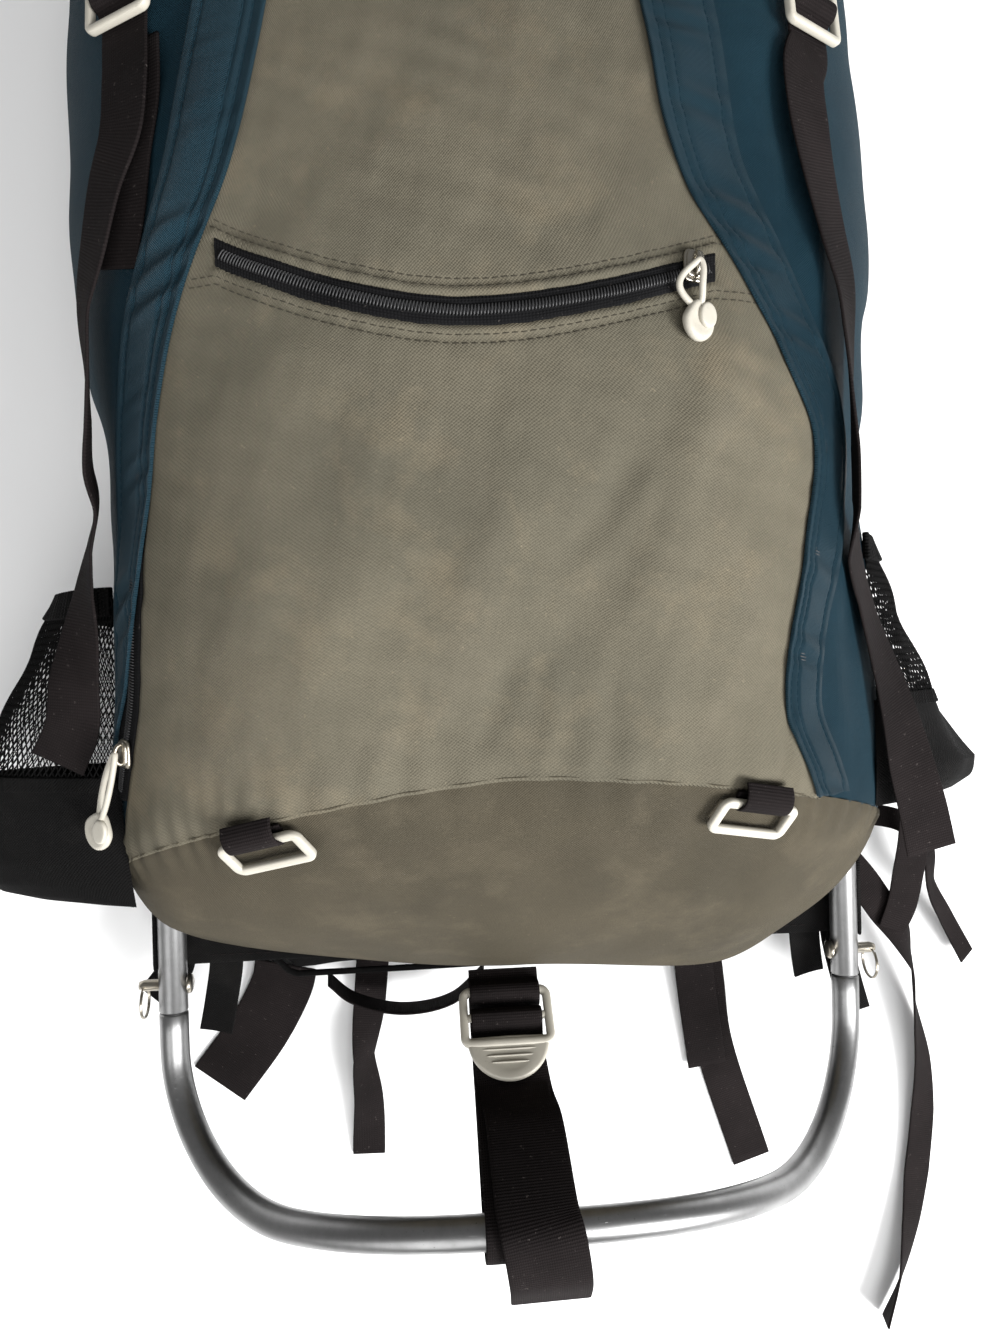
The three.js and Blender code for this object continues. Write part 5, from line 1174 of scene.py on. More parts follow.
def zip_line(x):
    """The slash pocket's zip seen from above: a sagging sine wave that also falls to the right."""
    t = np.clip((x - ZIP_LEFT) / (ZIP_RIGHT - ZIP_LEFT), 0, 1)
    return ZIP_HEIGHT - ZIP_SAG * np.sin(np.pi * t**0.9) - 6 * t


def pocket_zip():
    """The slash zip: a woven tape between two welts, a coil down its middle and rows of topstitching."""
    x = np.linspace(ZIP_LEFT, ZIP_RIGHT, 150)
    d = np.array([-6.4, -5.2, -4, -2, 0, 2, 4, 5.2, 6.4])
    xs, ds = np.meshgrid(x, d)
    across, along = on_bag(xs, zip_line(xs) + ds)
    lift = np.where(np.abs(ds) > 6, -1.6, 0.0) + 0.12 * ripples(xs, ds * 4, 41, 17)
    points = cloth(across, along, 2.2, lift)
    uv = np.stack([ds, run_of(points[4])[None] + 0 * ds], -1)
    make("zip_tape", Shape().grid(points, uv), ZIP_CLOTH, ["pocket_zip"])
    centre = points[4, 2:-2]
    normals = bag_normal(across, along)[4, 2:-2]
    make("zip_coil", coil(Shape(), centre + normals * 0.75, normals, 2.0, 0.7), TEETH)
    rows = []
    for off in (-12.4, -9.2, 9.2, 12.4):
        start = float(edge_x(ZIP_HEIGHT + off, 1)) + 4
        end = float(edge_x(ZIP_HEIGHT - 20 + off, 2)) - 4
        xr = np.linspace(start, end, 160)
        across, along = on_bag(xr, zip_line(xr) + off)
        p = bag_point(across, along, PANEL_LIFT)
        lift = front_extra(p[..., 0], p[..., 1], across, along) + 0.15
        rows.append((cloth(across, along, PANEL_LIFT, lift), bag_normal(across, along)))
    stitched("zip_stitches", rows, THREAD_SAGE, "sage")


def front_extra(x, y, across, along):
    """The sage cloth's own relief: gathers at the seam, a welt on each side of the zip, sunk stitch lines."""
    rise = (along - seam_height(across)) / 16
    gather = np.sin(2 * np.pi * across * 21 + 2.2 * np.sin(across * 17)) * np.exp(-(rise**2))
    tight = -1.0 * np.exp(-((rise * 3) ** 2))
    d = y - zip_line(x)
    near = ease(-6, 2, x - ZIP_LEFT) * ease(-6, 2, ZIP_RIGHT - x)
    d = np.abs(d)
    welt = 1.1 * np.exp(-(((d - 7.6) / 1.5) ** 2)) - 0.9 * ease(6.4, 5.2, d)
    welt = welt - 0.45 * np.exp(-(((d - 11) / 1.2) ** 2))
    pucker = 0.25 * np.sin(x / 1.9 + 2 * np.sin(x / 13)) * np.exp(-(((d - 10) / 4) ** 2))
    return 0.55 * gather + tight + 0.12 * ripples(x, y, 21, 14) + near * (welt + pucker)


def slider(name, seat, nodes):
    """A zip slider: a rounded body with two flanges, a bridge over it and a wire eye."""
    shape = Shape()
    block(shape, (0, 0, 0), (4.5, 6.5, 1.0), (0.5, 0.45), 14, 32, seat, True)
    block(shape, (0, 0.4, 1.0), (3.7, 5.4, 1.1), (0.6, 0.5), 14, 32, seat, True)
    turns = np.linspace(-0.2, np.pi + 0.2, 24)
    bridge = vector(0 * turns, 4.4 * np.cos(turns), 1.4 + 3.2 * np.clip(np.sin(turns), 0, 1) ** 0.7)
    tube(shape, put(bridge, seat), 0.95, 10, seat[1][0])
    return make(name, shape, STEEL, nodes, weld=True)


def pull(name, seat, at, node, bow, grip_size):
    """A pull: a slack loop of thin cord through the slider's bridge, held in a moulded thumb grip."""
    x, y, lift = at
    shape = Shape()
    direction = unit(np.array([x, y, 0.0]))
    side = np.array([-direction[1], direction[0], 0.0])
    end = np.array([x, y, lift])
    top = np.array([0, 0.4, 4.6])
    turns = circle(90)
    share = (1 - np.cos(turns)) / 2
    loop = top + (end - direction * 2 - top) * share[:, None]
    spread = np.sin(turns) * 4.6 - bow * np.sin(np.pi * share)
    loop += side * (spread * np.sin(np.pi * (0.08 + 0.84 * share)) ** 0.5)[:, None]
    loop[:, 2] += 1.6 * np.sin(np.pi * share) * (np.sin(turns) > 0)
    tube(shape, put(loop, seat), 1.35, 12, seat[1][2], closed=True)
    a = circle(56)
    reach, length = grip_size
    outline = np.stack([np.cos(a) * reach, np.sin(a) * length], -1)
    outline[:, 0] *= 1 - 0.3 * ease(0, length, outline[:, 1])
    face = unit(seat[1][2] + 0.25 * seat[1][0])
    grip = lay(put(end + direction * (length * 0.3), seat), put(-direction, (0, seat[1])), face)
    plate(shape, outline, 4.4, grip, soft=1.9, dish=1.1)
    cap = np.stack([np.cos(a) * reach * 0.55, np.sin(a) * length * 0.62], -1) + [reach * 0.42, length * 0.2]
    plate(shape, cap, 2.4, grip, soft=1.0, lift=2.2)
    return make(name, shape, PLASTIC, [node], weld=True)


LOCK_AT = {"left": (-0.415, 0.731), "right": (0.415, 0.724)}
LOCK_LIFT = 7.5
LOCK_WIDTH, LOCK_HALF, LOCK_BAR = 34, 14, 3.5
LOCK_RUN = [(4.3, -1.2), (3.5, 1.6), (0, 3.4), (-3.5, 1.6), (-5, -1.5), (-9.5, -3.6), (-18, -3.8)]
TAB_RUN = [(9.2, -3.2), (9.2, 0.6), (10.6, 2.9), (13.6, 3.4), (17, 1.8), (25, -3.4)]
# The side straps on the bag: round the girth, share of the length, lift in webbing widths.
SIDE_STRAPS = {
    "left": [
        (-0.41, 0.675, 0.2), (-0.42, 0.64, 0.2), (-0.455, 0.61, 0.22), (-0.49, 0.575, 0.24),
        (-0.54, 0.54, 0.24), (-0.56, 0.5, 0.24), (-0.58, 0.465, 0.24), (-0.6, 0.435, 0.24),
    ],
    "right": [
        (0.39, 0.675, 0.2), (0.392, 0.64, 0.2), (0.403, 0.607, 0.2), (0.425, 0.57, 0.22),
        (0.46, 0.535, 0.24), (0.476, 0.5, 0.24), (0.486, 0.465, 0.24), (0.498, 0.425, 0.24),
        (0.5, 0.385, 0.24),
    ],
}
# How far each of these places is rolled outwards, as a share of its face's length.
STRAP_ROLL = {
    "left": [0, 0, 0.1, 0.2, 0.5, 1.0, 1.6, 2.2],
    "right": [0, 0, 0.1, 0.2, 0.3, 0.6, 1.0, 1.5, 1.5],
}
# Their free ends: shares of the frame's half width, the bag's length and its depth, turn in degrees.
STRAP_ENDS = {
    "left": [
        (-0.973, 0.402, 0.69, -76), (-0.997, 0.372, 0.668, -70), (-1.017, 0.341, 0.65, -55),
        (-1.032, 0.31, 0.64, -34), (-1.05, 0.278, 0.63, -16), (-1.062, 0.246, 0.615, -6),
        (-1.102, 0.22, 0.595, 0),
    ],
    "right": [
        (0.72, 0.362, 0.768, 52), (0.768, 0.332, 0.7, 56), (0.81, 0.3, 0.665, 50), (0.855, 0.266, 0.64, 38),
        (0.893, 0.233, 0.62, 24), (0.929, 0.198, 0.597, 8), (0.968, 0.162, 0.573, 0),
        (1.003, 0.126, 0.545, -5),
    ],
}
ANCHOR_STRAP = [(-0.402, 0.7), (-0.402, 0.66), (-0.42, 0.625), (-0.436, 0.59), (-0.452, 0.57), (-0.463, 0.556)]


def web(
    name, points, faces, width, nodes,
    steps=14, fixed=None, thickness=WEB, material=WEBBING, cup=0.0,
):
    """A strap of webbing through points, with the face at each of them."""
    path = spline(points, steps)
    turned = None if fixed is not None else faces_between(faces, steps)
    shape = strap(Shape(), path, turned, width, thickness, cup, fixed)
    return make(name, shape, material, nodes)


def ladder_lock(shape, seat, wide, half, bar):
    """A ladder lock: a rounded moulded frame with a ridged middle bar and a lifted grip."""
    rim(shape, round_path(wide - bar, -half + bar / 2, half - bar / 2, 2.2), bar, bar + 0.4, seat, bow=0.8)
    rod(shape, (-wide / 2 + bar, 0, 0.3), (wide / 2 - bar, 0, 0.3), bar + 0.5, bar, seat)
    for k in (-0.9, 0.9):
        start = (-wide / 2 + bar * 1.4, half - bar / 2, 1.4 + k * 0.1)
        end = (wide / 2 - bar * 1.4, half - bar / 2 + k, 1.5)
        rod(shape, start, end, 0.8, 0.8, seat, 1.0, 8)
    return shape


def seats(places):
    """Seats as points and faces."""
    return np.array([place for place, _ in places]), np.array([axes[2] for _, axes in places])


def side_webbing():
    """The side straps: each turns round its ladder lock's bar, runs down the bag and ends loose."""
    for hand, side in HANDS:
        across, up = LOCK_AT[hand]
        seat = bag_seat(across, up * BAG_LENGTH, LOCK_LIFT, False)
        lock = ladder_lock(Shape(), seat, LOCK_WIDTH, LOCK_HALF, LOCK_BAR)
        make("lock_" + hand, lock, PLASTIC, ["ladder_lock_" + hand], weld=True)
        round_bar = run_on(seat, LOCK_RUN)
        below = seats([bag_seat(a, u * BAG_LENGTH, k * MIDDLE_WEB, False) for a, u, k in SIDE_STRAPS[hand]])
        roll = np.array(STRAP_ROLL[hand])[:, None] * [side, 0, 0]
        below = below[0] + 2.4 * roll, unit(below[1] + roll)
        rows = np.array(STRAP_ENDS[hand])
        turn = np.radians(rows[:, 3])
        loose = rows[:, :3] * [HALF_FRAME, BAG_LENGTH, BAG_DEPTH], vector(np.sin(turn), 0, np.cos(turn))
        points, faces = [np.concatenate(parts) for parts in zip(round_bar, below, loose)]
        web("side_webbing_" + hand, points, faces, MIDDLE_WEB, ["side_strap_" + hand], 10, cup=0.35)
        tab = run_on(seat, TAB_RUN)
        above = seats([bag_seat(across, u * BAG_LENGTH, WEB / 2 + GAP, False) for u in (0.86, 0.895)])
        points, faces = [np.concatenate(parts) for parts in zip(tab, above)]
        web("lid_webbing_" + hand, points, faces, MIDDLE_WEB, ["lid_tab_" + hand])
    points, faces = seats([bag_seat(a, u * BAG_LENGTH, WEB / 2 + GAP, False) for a, u in ANCHOR_STRAP])
    web("anchor_webbing", points, faces, MIDDLE_WEB, ["side_anchor_left"])


LASH_AT = {"left": -124.0, "right": 92.0}
LASH_DROP = 13.0
LASH_TURN = {"left": 21.0, "right": -22.0}
LASH_LIFT = 5.6
LASH_WIDTH, LASH_LOW, LASH_HIGH = 37, -7.0, 8.0
LASH_RUN = [(5, -2.6), (2.5, 1.2), (-1, 3.4), (-4.5, 3.2), (-7.6, 0.3), (-5.5, -3.0), (-1, -3.4)]


def lash_loops():
    """The lash loops under the seam: a moulded ring in a fold of webbing, bar-tacked close to the seam."""
    for hand, _ in HANDS:
        across = across_at(LASH_AT[hand], SEAM_HEIGHT * 0.9)
        top, low = bottom_cloth_smooth(across, 0.0), bottom_cloth_smooth(across, 0.3)
        side = bottom_cloth_smooth(across + 0.02, 0.1) - bottom_cloth_smooth(across - 0.02, 0.1)
        face = unit(np.cross(side, top - low))
        tip = math.radians(LASH_TURN[hand])
        seat = lay(top + face * LASH_LIFT, unit(top - low) * math.cos(tip) - unit(side) * math.sin(tip), face)
        ring_seat = (seat[0] - seat[1][1] * LASH_DROP, seat[1])
        shape = rim(Shape(), round_path(LASH_WIDTH, LASH_LOW, LASH_HIGH, 2.6), 4.4, 3.4, ring_seat, bow=0.4)
        make("lash_frame_" + hand, shape, PLASTIC, ["lash_ring_" + hand], weld=True)
        points, faces = run_on(seat, LASH_RUN)
        web("lash_fold_" + hand, points, faces, MIDDLE_WEB, ["lash_webbing_" + hand])


def bottom_cloth_smooth(across, share):
    """A point of the bottom panel without its relief."""
    top = bag_point(across, seam_height(across))
    low = hem_point(np.asarray(across, float))
    bulge = BASE_BULGE * math.sin(math.pi * share) * math.cos(float(across) * math.pi / 2)
    return top + (low - top) * share + np.array([0, -0.77, 0.64]) * bulge


CENTRE_X = -12.0
CENTRE_AT = np.array([CENTRE_X, -17.0, 50.0])
CENTRE_SLANT = 12.0
HOOP_SLACK = 2.9
TAIL_START = 18
ANCHOR_RUN = [(13.9, -4.6), (14.6, 0.5), (17.5, 4.0), (22, 4.2), (27, 0.5)]


def hoop_point(x, y):
    """The hoop's middle line: bowed forward by a parabola in x and lifted where it is bowed most."""
    z = HOOP_BOW * (1 - (x / HALF_FRAME) ** 2)
    return np.array([x, y + HOOP_RISE * (z / HOOP_BOW) ** 2.5, z])


def centre_lock():
    """The centre strap's ladder lock: a frame with two bars over a rounded, dished lip."""
    hoop = hoop_point(CENTRE_X, -HOOP_DROP)
    up = hem_point(np.array(0.0)) - hoop
    up[0] = 0
    up = unit(up)
    seat = (CENTRE_AT, np.stack([np.array([1.0, 0, 0]), up, np.cross([1.0, 0, 0], up)]))
    shape = Shape()
    rim(shape, round_path(45.5, -8.2, 20.6, 4), 4.6, 4.6, seat, bow=0.9)
    rod(shape, (-22, 6, 0.2), (22, 6, 0.2), 4.6, 4.4, seat)
    a = np.linspace(np.pi, 2 * np.pi, 40)
    lip = np.stack([21.5 * np.cos(a), -6.5 + 21.5 * np.sin(a)], -1)
    lip = np.concatenate([lip, [(21.0, -5.2), (0, -4.6), (-21.0, -5.2)]])
    plate(shape, lip, 4.2, seat, soft=1.6, dish=1.3)
    for k in range(3):
        x, y = 15 - k * 2.5, -12 - 3.4 * k
        rod(shape, (-x, y, 1.3), (x, y, 1.3), 1.1, 1.2, seat, 1.0, 8)
    make("centre_frame", shape, PLASTIC, ["centre_lock"], weld=True)
    return seat, hoop


def centre_webbing():
    """The centre strap: from under the bag round the hoop, through the lock and back down as a tail."""
    seat, hoop = centre_lock()
    points, faces = run_on(seat, ANCHOR_RUN)
    end = hem_point(np.array(0.0), PANEL_LIFT + GAP + WEB / 2)
    points = np.concatenate([points, [[CENTRE_X, end[1], end[2]]]])
    faces = np.concatenate([faces, faces[:1]])
    web("centre_fold", points, faces, WIDE_WEB, ["centre_anchor"])
    place, axes = seat
    to_hoop = hoop - place
    along, lift = float(to_hoop @ axes[1]), float(to_hoop @ axes[2])
    inner = TUBE_R + GAP + WEB / 2 + HOOP_SLACK
    outer = inner + WEB + 1

    def around(radius, degrees):
        a = math.radians(degrees)
        return along + radius * math.cos(a), lift + radius * math.sin(a)

    gap = hem_point(np.array(0.0), WEB) - place
    run = [(float(gap @ axes[1]) - 4, float(gap @ axes[2]) - 6), (20, -14), (-40, lift - inner + 1)]
    run += [around(inner, a) for a in (275, 235, 195, 155, 115, 82)]
    run += [(-45, lift + 2), (-20, -7.4), (2, -6.4), (9.6, -3.4), (10.2, 1), (6.6, 3.9), (2.4, 2.2)]
    run += [(-2, -2.2), (-9, -3.9), (-31, -3.9), (-50, lift + 7)]
    run += [around(outer + more, a) for more, a in ((0, 80), (0.5, 120), (2, 160), (8, 198), (24, 236))]
    points, _ = run_on(seat, run)
    tail = len(points) - TAIL_START
    points[TAIL_START:, 0] += CENTRE_SLANT * np.arange(1, tail + 1) / tail
    web("centre_webbing", points, None, WIDE_WEB, ["centre_strap"], 12, fixed=(1, 0, 0))


# Loose straps: width, then places as shares of the frame's half width, of the hoop's drop and of the
# frame's height over the floor, and the turn of the face in degrees.
LOOSE_STRAPS = {
    "belt_tail_left": (
        38,
        [
            (-0.71, -0.047, 0.17, 0), (-0.725, -0.16, 0.1, 0), (-0.8, -0.42, 0.025, 0),
            (-0.93, -0.73, 0.022, 0),
        ],
    ),
    "belt_tail_middle": (
        20,
        [
            (-0.44, -0.018, 0.17, 0), (-0.455, -0.3, 0.1, 10), (-0.475, -0.6, 0.2, 55),
            (-0.465, -0.86, 0.14, 30), (-0.47, -1.19, 0.022, 0),
        ],
    ),
    "belt_tail_right": (
        25,
        [
            (0.62, -0.02, 0.1, 0), (0.64, -0.3, 0.03, 0), (0.66, -0.65, 0.022, 0), (0.78, -1.38, 0.022, 0),
        ],
    ),
    "belt_tail_right_upper": (25, [(0.58, -0.02, 0.25, 0), (0.6, -0.3, 0.13, 0), (0.635, -0.79, 0.075, 0)]),
    "long_tail_right": (
        20,
        [
            (1.012, 0.52, 0.775, 0), (1.092, 0.35, 0.76, 0), (1.158, 0.18, 0.74, 4),
            (1.221, 0.03, 0.69, 30), (1.279, -0.162, 0.52, 68), (1.324, -0.509, 0.26, 62),
            (1.361, -0.848, 0.14, 35), (1.363, -1.157, 0.09, 18), (1.34, -1.521, 0.075, 14),
            (1.308, -1.823, 0.125, 32), (1.261, -2.121, 0.19, 58), (1.202, -2.369, 0.22, 74),
        ],
    ),
    "thin_tail_right": (
        13,
        [
            (1.012, 0.7, 0.775, 0), (1.12, 0.72, 0.765, 0), (1.24, 0.66, 0.74, 10), (1.326, 0.49, 0.65, 30),
            (1.352, 0.271, 0.52, 45), (1.425, 0.065, 0.33, 30), (1.523, -0.211, 0.15, 20),
        ],
    ),
    "belt_strap_right": (
        20,
        [
            (1.184, 0.06, 0.765, 14), (1.213, 0.195, 0.8, 4), (1.226, 0.406, 0.9, 0),
            (1.227, 0.618, 1.04, 0), (1.216, 0.85, 1.17, 0),
        ],
    ),
}
SLACK_BAND = [
    (-0.57, -0.085, 0.56), (-0.5, -0.2, 0.52), (-0.35, -0.28, 0.5), (-0.2, -0.24, 0.5), (-0.1, -0.085, 0.56),
]


def loose_places(rows):
    """Loose straps' shares as millimetres."""
    rows = np.asarray(rows, float)
    return vector(rows[:, 0] * HALF_FRAME, rows[:, 1] * HOOP_DROP, FLOOR + rows[:, 2] * FRAME_LIFT)


def loose_webbing():
    """The tails that lie loose round the pack, and the slack band under the hem."""
    for name, (width, rows) in LOOSE_STRAPS.items():
        points = loose_places(rows)
        turn = np.radians([row[3] for row in rows])
        faces = vector(np.sin(turn), 0, np.cos(turn))
        web("loose_" + name, points, faces, width, [name], 18)
    web("loose_band", loose_places(SLACK_BAND), None, NARROW_WEB, ["slack_band"], 16, fixed=(0, 0, 1))


TAB_CLOTH = 2.4
TAB_WIDTH = 19.0
BASE_LOW, BASE_HIGH = 8.0, 78.0
BACK_LOW, BACK_HIGH = 250.0, 396.0
HOOK_DEGREES = 100
CORNER_TABS = {
    "corner_tab_left_inner": (-0.86, -0.905, 0.4),
    "corner_tab_left_outer": (-1.0, -1.085, 0.2),
    "corner_tab_right_inner": (0.9, 0.93, 0.26),
    "corner_tab_right_outer": (1.0, 1.08, 0.5),
}


def corner_tabs():
    """The folded cloth tabs at the lower corners."""
    for name, (x, end, drop) in CORNER_TABS.items():
        high = BAND_LOW - 1.6 * GAP - TAB_CLOTH / 2
        reach = drop * HOOP_DROP
        points = vector(
            np.array([x, x, (x + end) / 2, end]) * HALF_FRAME,
            np.array([BASE_LOW + TAB_WIDTH, BASE_LOW, BASE_LOW - reach * 0.55, BASE_LOW - reach]),
            np.array([high, high, high - 5, high - 9]),
        )
        faces = np.repeat([[0.0, 0, 1]], 4, 0)
        web("tab_" + name, points, faces, TAB_WIDTH, [name], 12, None, TAB_CLOTH, BLACK, 0.8)


def bands():
    """The bands round the side tubes: cloth at the base, padded net behind the back."""
    radius = TUBE_R + GAP + BAND / 2
    hook = np.radians(np.linspace(HOOK_DEGREES, 0, 16))
    left = vector(-HALF_FRAME - radius * np.sin(hook), 0 * hook, -radius * np.cos(hook))
    flat = vector(np.linspace(-HALF_FRAME + 6, HALF_FRAME - 6, 60), 0, -radius)
    path = np.concatenate([left, flat, left[::-1] * [-1, 1, 1]])
    for name, node, low, high, material, slot in (
        ("base_cloth", "base_band", BASE_LOW, BASE_HIGH, BLACK, "black_cloth"),
        ("back_net", "back_band", BACK_LOW, BACK_HIGH, SPACER, "mesh"),
    ):
        middle = path + [0, (low + high) / 2, 0]
        make(name, strap(Shape(), middle, None, high - low, BAND, 0, (0, 1, 0)), material, [node])
        edges = Shape()
        for y in (low + 5, high - 5):
            line = path + [0, y, 0]
            line[:, 2] -= 1.2
            for out in (-1.0, 1.0):
                faces = np.repeat([[0.0, 0, out]], len(line) - 36, 0)
                stitches(edges, line[18:-18], faces, 5.0, 3.9, 0.7)
                line = line + [0, 0, 2.4]
        make(name + "_stitches", edges, WEBBING)


# The side pockets: foot, height, reach and lift as shares, then the bulge over the height.
POCKETS = {"left": (0.116, 0.9, 1.0, 1.6), "right": (0.155, 0.81, 0.68, 1.2)}
POCKET_BACK = 0.97
POCKET_FRONT = 0.66
POCKET_SEAM = 0.41
POCKET_SWELL = {
    "left": [(0, 0), (0.004, 0.38), (0.012, 0.6), (0.03, 0.76), (0.07, 0.89), (0.15, 0.96)]
    + [(0.41, 0.85), (0.62, 0.66), (0.82, 0.47), (1, 0.32)],
    "right": [(0, 0), (0.004, 0.38), (0.012, 0.6), (0.03, 0.76), (0.07, 0.9), (0.15, 0.98)]
    + [(0.41, 0.56), (0.62, 0.39), (0.82, 0.22), (1, 0.07)],
}


def pocket_point(hand, turn, up, out=0.0):
    """A side pocket: the bag's side pushed out by a flattened half sine across and a swell in height."""
    side = -1 if hand == "left" else 1
    foot, tall, reach, lift = POCKETS[hand]
    edges = (-POCKET_BACK, -POCKET_FRONT) if side < 0 else (POCKET_FRONT, POCKET_BACK)
    across = edges[0] + (edges[1] - edges[0]) * turn
    along = foot * BAG_LENGTH + tall * POCKET_HEIGHT * up
    swell = np.interp(up, *np.array(POCKET_SWELL[hand], float).T)
    push = reach * POCKET_BULGE * swell * np.maximum(0, np.sin(np.pi * turn)) ** 0.55 + out
    slack = 1.5 * ripples(turn * 130, along, 51, 46) * np.sin(np.pi * turn) ** 0.5 * ease(0, 0.1, up)
    push = push + slack
    return bag_point(across, along, 1.2 * lift) + vector(side * push, 0, -0.15 * push)


def pocket_turns(hand, count):
    """Turns at even distances along a pocket's cloth."""
    turn = np.linspace(0, 1, 1601)
    run = run_of(pocket_point(hand, turn, np.full(turn.shape, 0.5)))
    return np.interp(np.linspace(0, run[-1], count), run, turn), run[-1]


def side_pockets():
    """The side pockets: a black cloth foot, a knotted net above it and a gathered elastic hem."""
    for hand, side in HANDS:
        tall = POCKETS[hand][1] * POCKET_HEIGHT
        turn, girth = pocket_turns(hand, 110)
        up = np.concatenate([[0, 0.004, 0.012, 0.03], np.linspace(0.05, POCKET_SEAM, 40)])
        tt, uu = np.meshgrid(turn, up)
        outer = pocket_point(hand, tt, uu)
        inner = pocket_point(hand, tt, uu, -1.3)
        run, rise = run_of(outer[30]), up * tall
        uv = np.stack(np.meshgrid(run, np.concatenate([rise, 2 * rise[-1] - rise[::-1]])), -1)
        points = np.concatenate([outer, inner[::-1]])
        foot = Shape().grid(points, uv, flip=side < 0)
        make("pocket_cloth_" + hand, foot, BLACK, ["pocket_foot_" + hand])
        pitch = 3.1
        count = int(girth / pitch) * 2
        turn, girth = pocket_turns(hand, count * 2 + 1)
        rows = int((1 - POCKET_SEAM) * tall / pitch)
        net = Shape()
        zig = squared(np.abs((np.arange(len(turn)) % 4) - 2) - 1.0, 0.8)
        for k in range(rows):
            base = POCKET_SEAM + (1 - POCKET_SEAM) * (k + 0.5) / rows
            flip = 1 if k % 2 else -1
            level = base + flip * zig * 0.56 * (1 - POCKET_SEAM) / rows
            path = pocket_point(hand, turn, np.clip(level, 0, 1.0))
            tube(net, path, 0.38, 4, (0.2, 1, 0.1))
        make("pocket_net_" + hand, net, NET, ["side_pocket_" + hand])
        turn, girth = pocket_turns(hand, 140)
        for name, level, width, thick in (("hem", 0.985, 13, 2.6), ("seam", POCKET_SEAM, 7, 1.8)):
            path = pocket_point(hand, turn, np.full(turn.shape, level), 0.5)
            below = pocket_point(hand, turn, np.full(turn.shape, level - 0.08), 0.5)
            across = unit(path - below)
            faces = unit(np.cross(slopes_of(path), across))
            path[1:-1] += faces[1:-1] * (0.35 * np.sin(np.arange(len(turn)) * 1.9))[1:-1, None]
            edge = strap(Shape(), path, faces, width, thick)
            make("pocket_%s_%s" % (name, hand), edge, BLACK)


def side_zips():
    """The side zips beside the flaps: tape, with the coil where it shows at the foot."""
    for column, side, hand in ((1, -1, "left"), (2, 1, "right")):
        reach = 11.6 if side < 0 else 8.6

        def near(y):
            return edge_x(y, column) + side * 0.6

        def far(y):
            return edge_x(y, column) + side * reach

        def foot(across):
            return ZIP_FOOT + 0 * across

        edges = (far, near) if side < 0 else (near, far)
        s, t = np.linspace(0, 1, 14), np.linspace(0, 1, 200)
        shape = strip_cloth(Shape(), s, t, *edges, foot, PANEL_TOP, 2.0, None, 1.4)
        make("side_tape_" + hand, shape, ZIP_CLOTH, ["side_zip_" + hand])
        t = np.linspace(0, 0.4, 90)
        y = ZIP_FOOT + t * (PANEL_TOP - ZIP_FOOT)
        across, along = on_bag(edge_x(y, column) + side * 5.0, y)
        path = cloth(across, along, 2.5)
        make("side_coil_" + hand, coil(Shape(), path, bag_normal(across, along), 1.9, 0.65), TEETH)


SLIDER_X = 56.0
# The side slider's place: round the girth and as a share of the length.
SIDE_SLIDER = (-0.585, 0.236)


def zip_hardware():
    """The two sliders with their pulls."""
    along = float(zip_line(SLIDER_X))
    seat = bag_seat(float(across_at(SLIDER_X, along)), along, 4.4)
    slider("pocket_slider", seat, ["pocket_zip_slider"])
    pull("pocket_pull", seat, (1.5, -19, 0.4), "pocket_zip_pull", 3.6, (7.4, 8.2))
    seat = bag_seat(SIDE_SLIDER[0], SIDE_SLIDER[1] * BAG_LENGTH, 3.2)
    slider("side_slider", seat, ["side_zip_slider"])
    pull("side_pull", seat, (-13, -34, 8.0), "side_zip_pull", -0.8, (8.2, 9.4))


def applied(piece):
    """Puts what the piece's modifiers make into its own mesh."""
    mesh = bpy.data.meshes.new_from_object(piece.evaluated_get(bpy.context.evaluated_depsgraph_get()))
    piece.modifiers.clear()
    piece.data = mesh


def corners_of(mesh):
    """A mesh's points as an array."""
    points = np.empty(len(mesh.vertices) * 3, np.float32)
    mesh.vertices.foreach_get("co", points)
    return points.reshape(-1, 3)


PAD_PRESSURE = 4.0


def blown(piece, reach):
    """The pad's cloth blown up for twenty frames, no point further than reach from where it began."""
    even = piece.modifiers.new("even", "REMESH")
    even.mode = "VOXEL"
    even.voxel_size = 0.005
    applied(piece)
    before = corners_of(piece.data)
    soft = piece.modifiers.new("soft", "CLOTH")
    soft.settings.use_pressure = True
    soft.settings.uniform_pressure_force = PAD_PRESSURE
    soft.settings.effector_weights.gravity = 0
    for frame in range(1, 21):
        bpy.context.scene.frame_set(frame)
    after = corners_of(piece.evaluated_get(bpy.context.evaluated_depsgraph_get()).data)
    piece.modifiers.clear()
    bpy.context.scene.frame_set(1)
    move = after - before
    far = np.linalg.norm(move, axis=1, keepdims=True)
    move *= np.minimum(1, reach / np.maximum(far, 1e-9))
    piece.data.vertices.foreach_set("co", (before + move).ravel())
    fine = piece.modifiers.new("fine", "SUBSURF")
    fine.levels = fine.render_levels = 1
    applied(piece)
    mesh = piece.data
    mesh.shade_smooth()
    points = corners_of(mesh)
    index = np.empty(len(mesh.loops), np.int32)
    mesh.loops.foreach_get("vertex_index", index)
    layer = mesh.uv_layers.new(name="cloth")
    layer.data.foreach_set("uv", (points[index][:, :2] * 1000).ravel())
    return piece


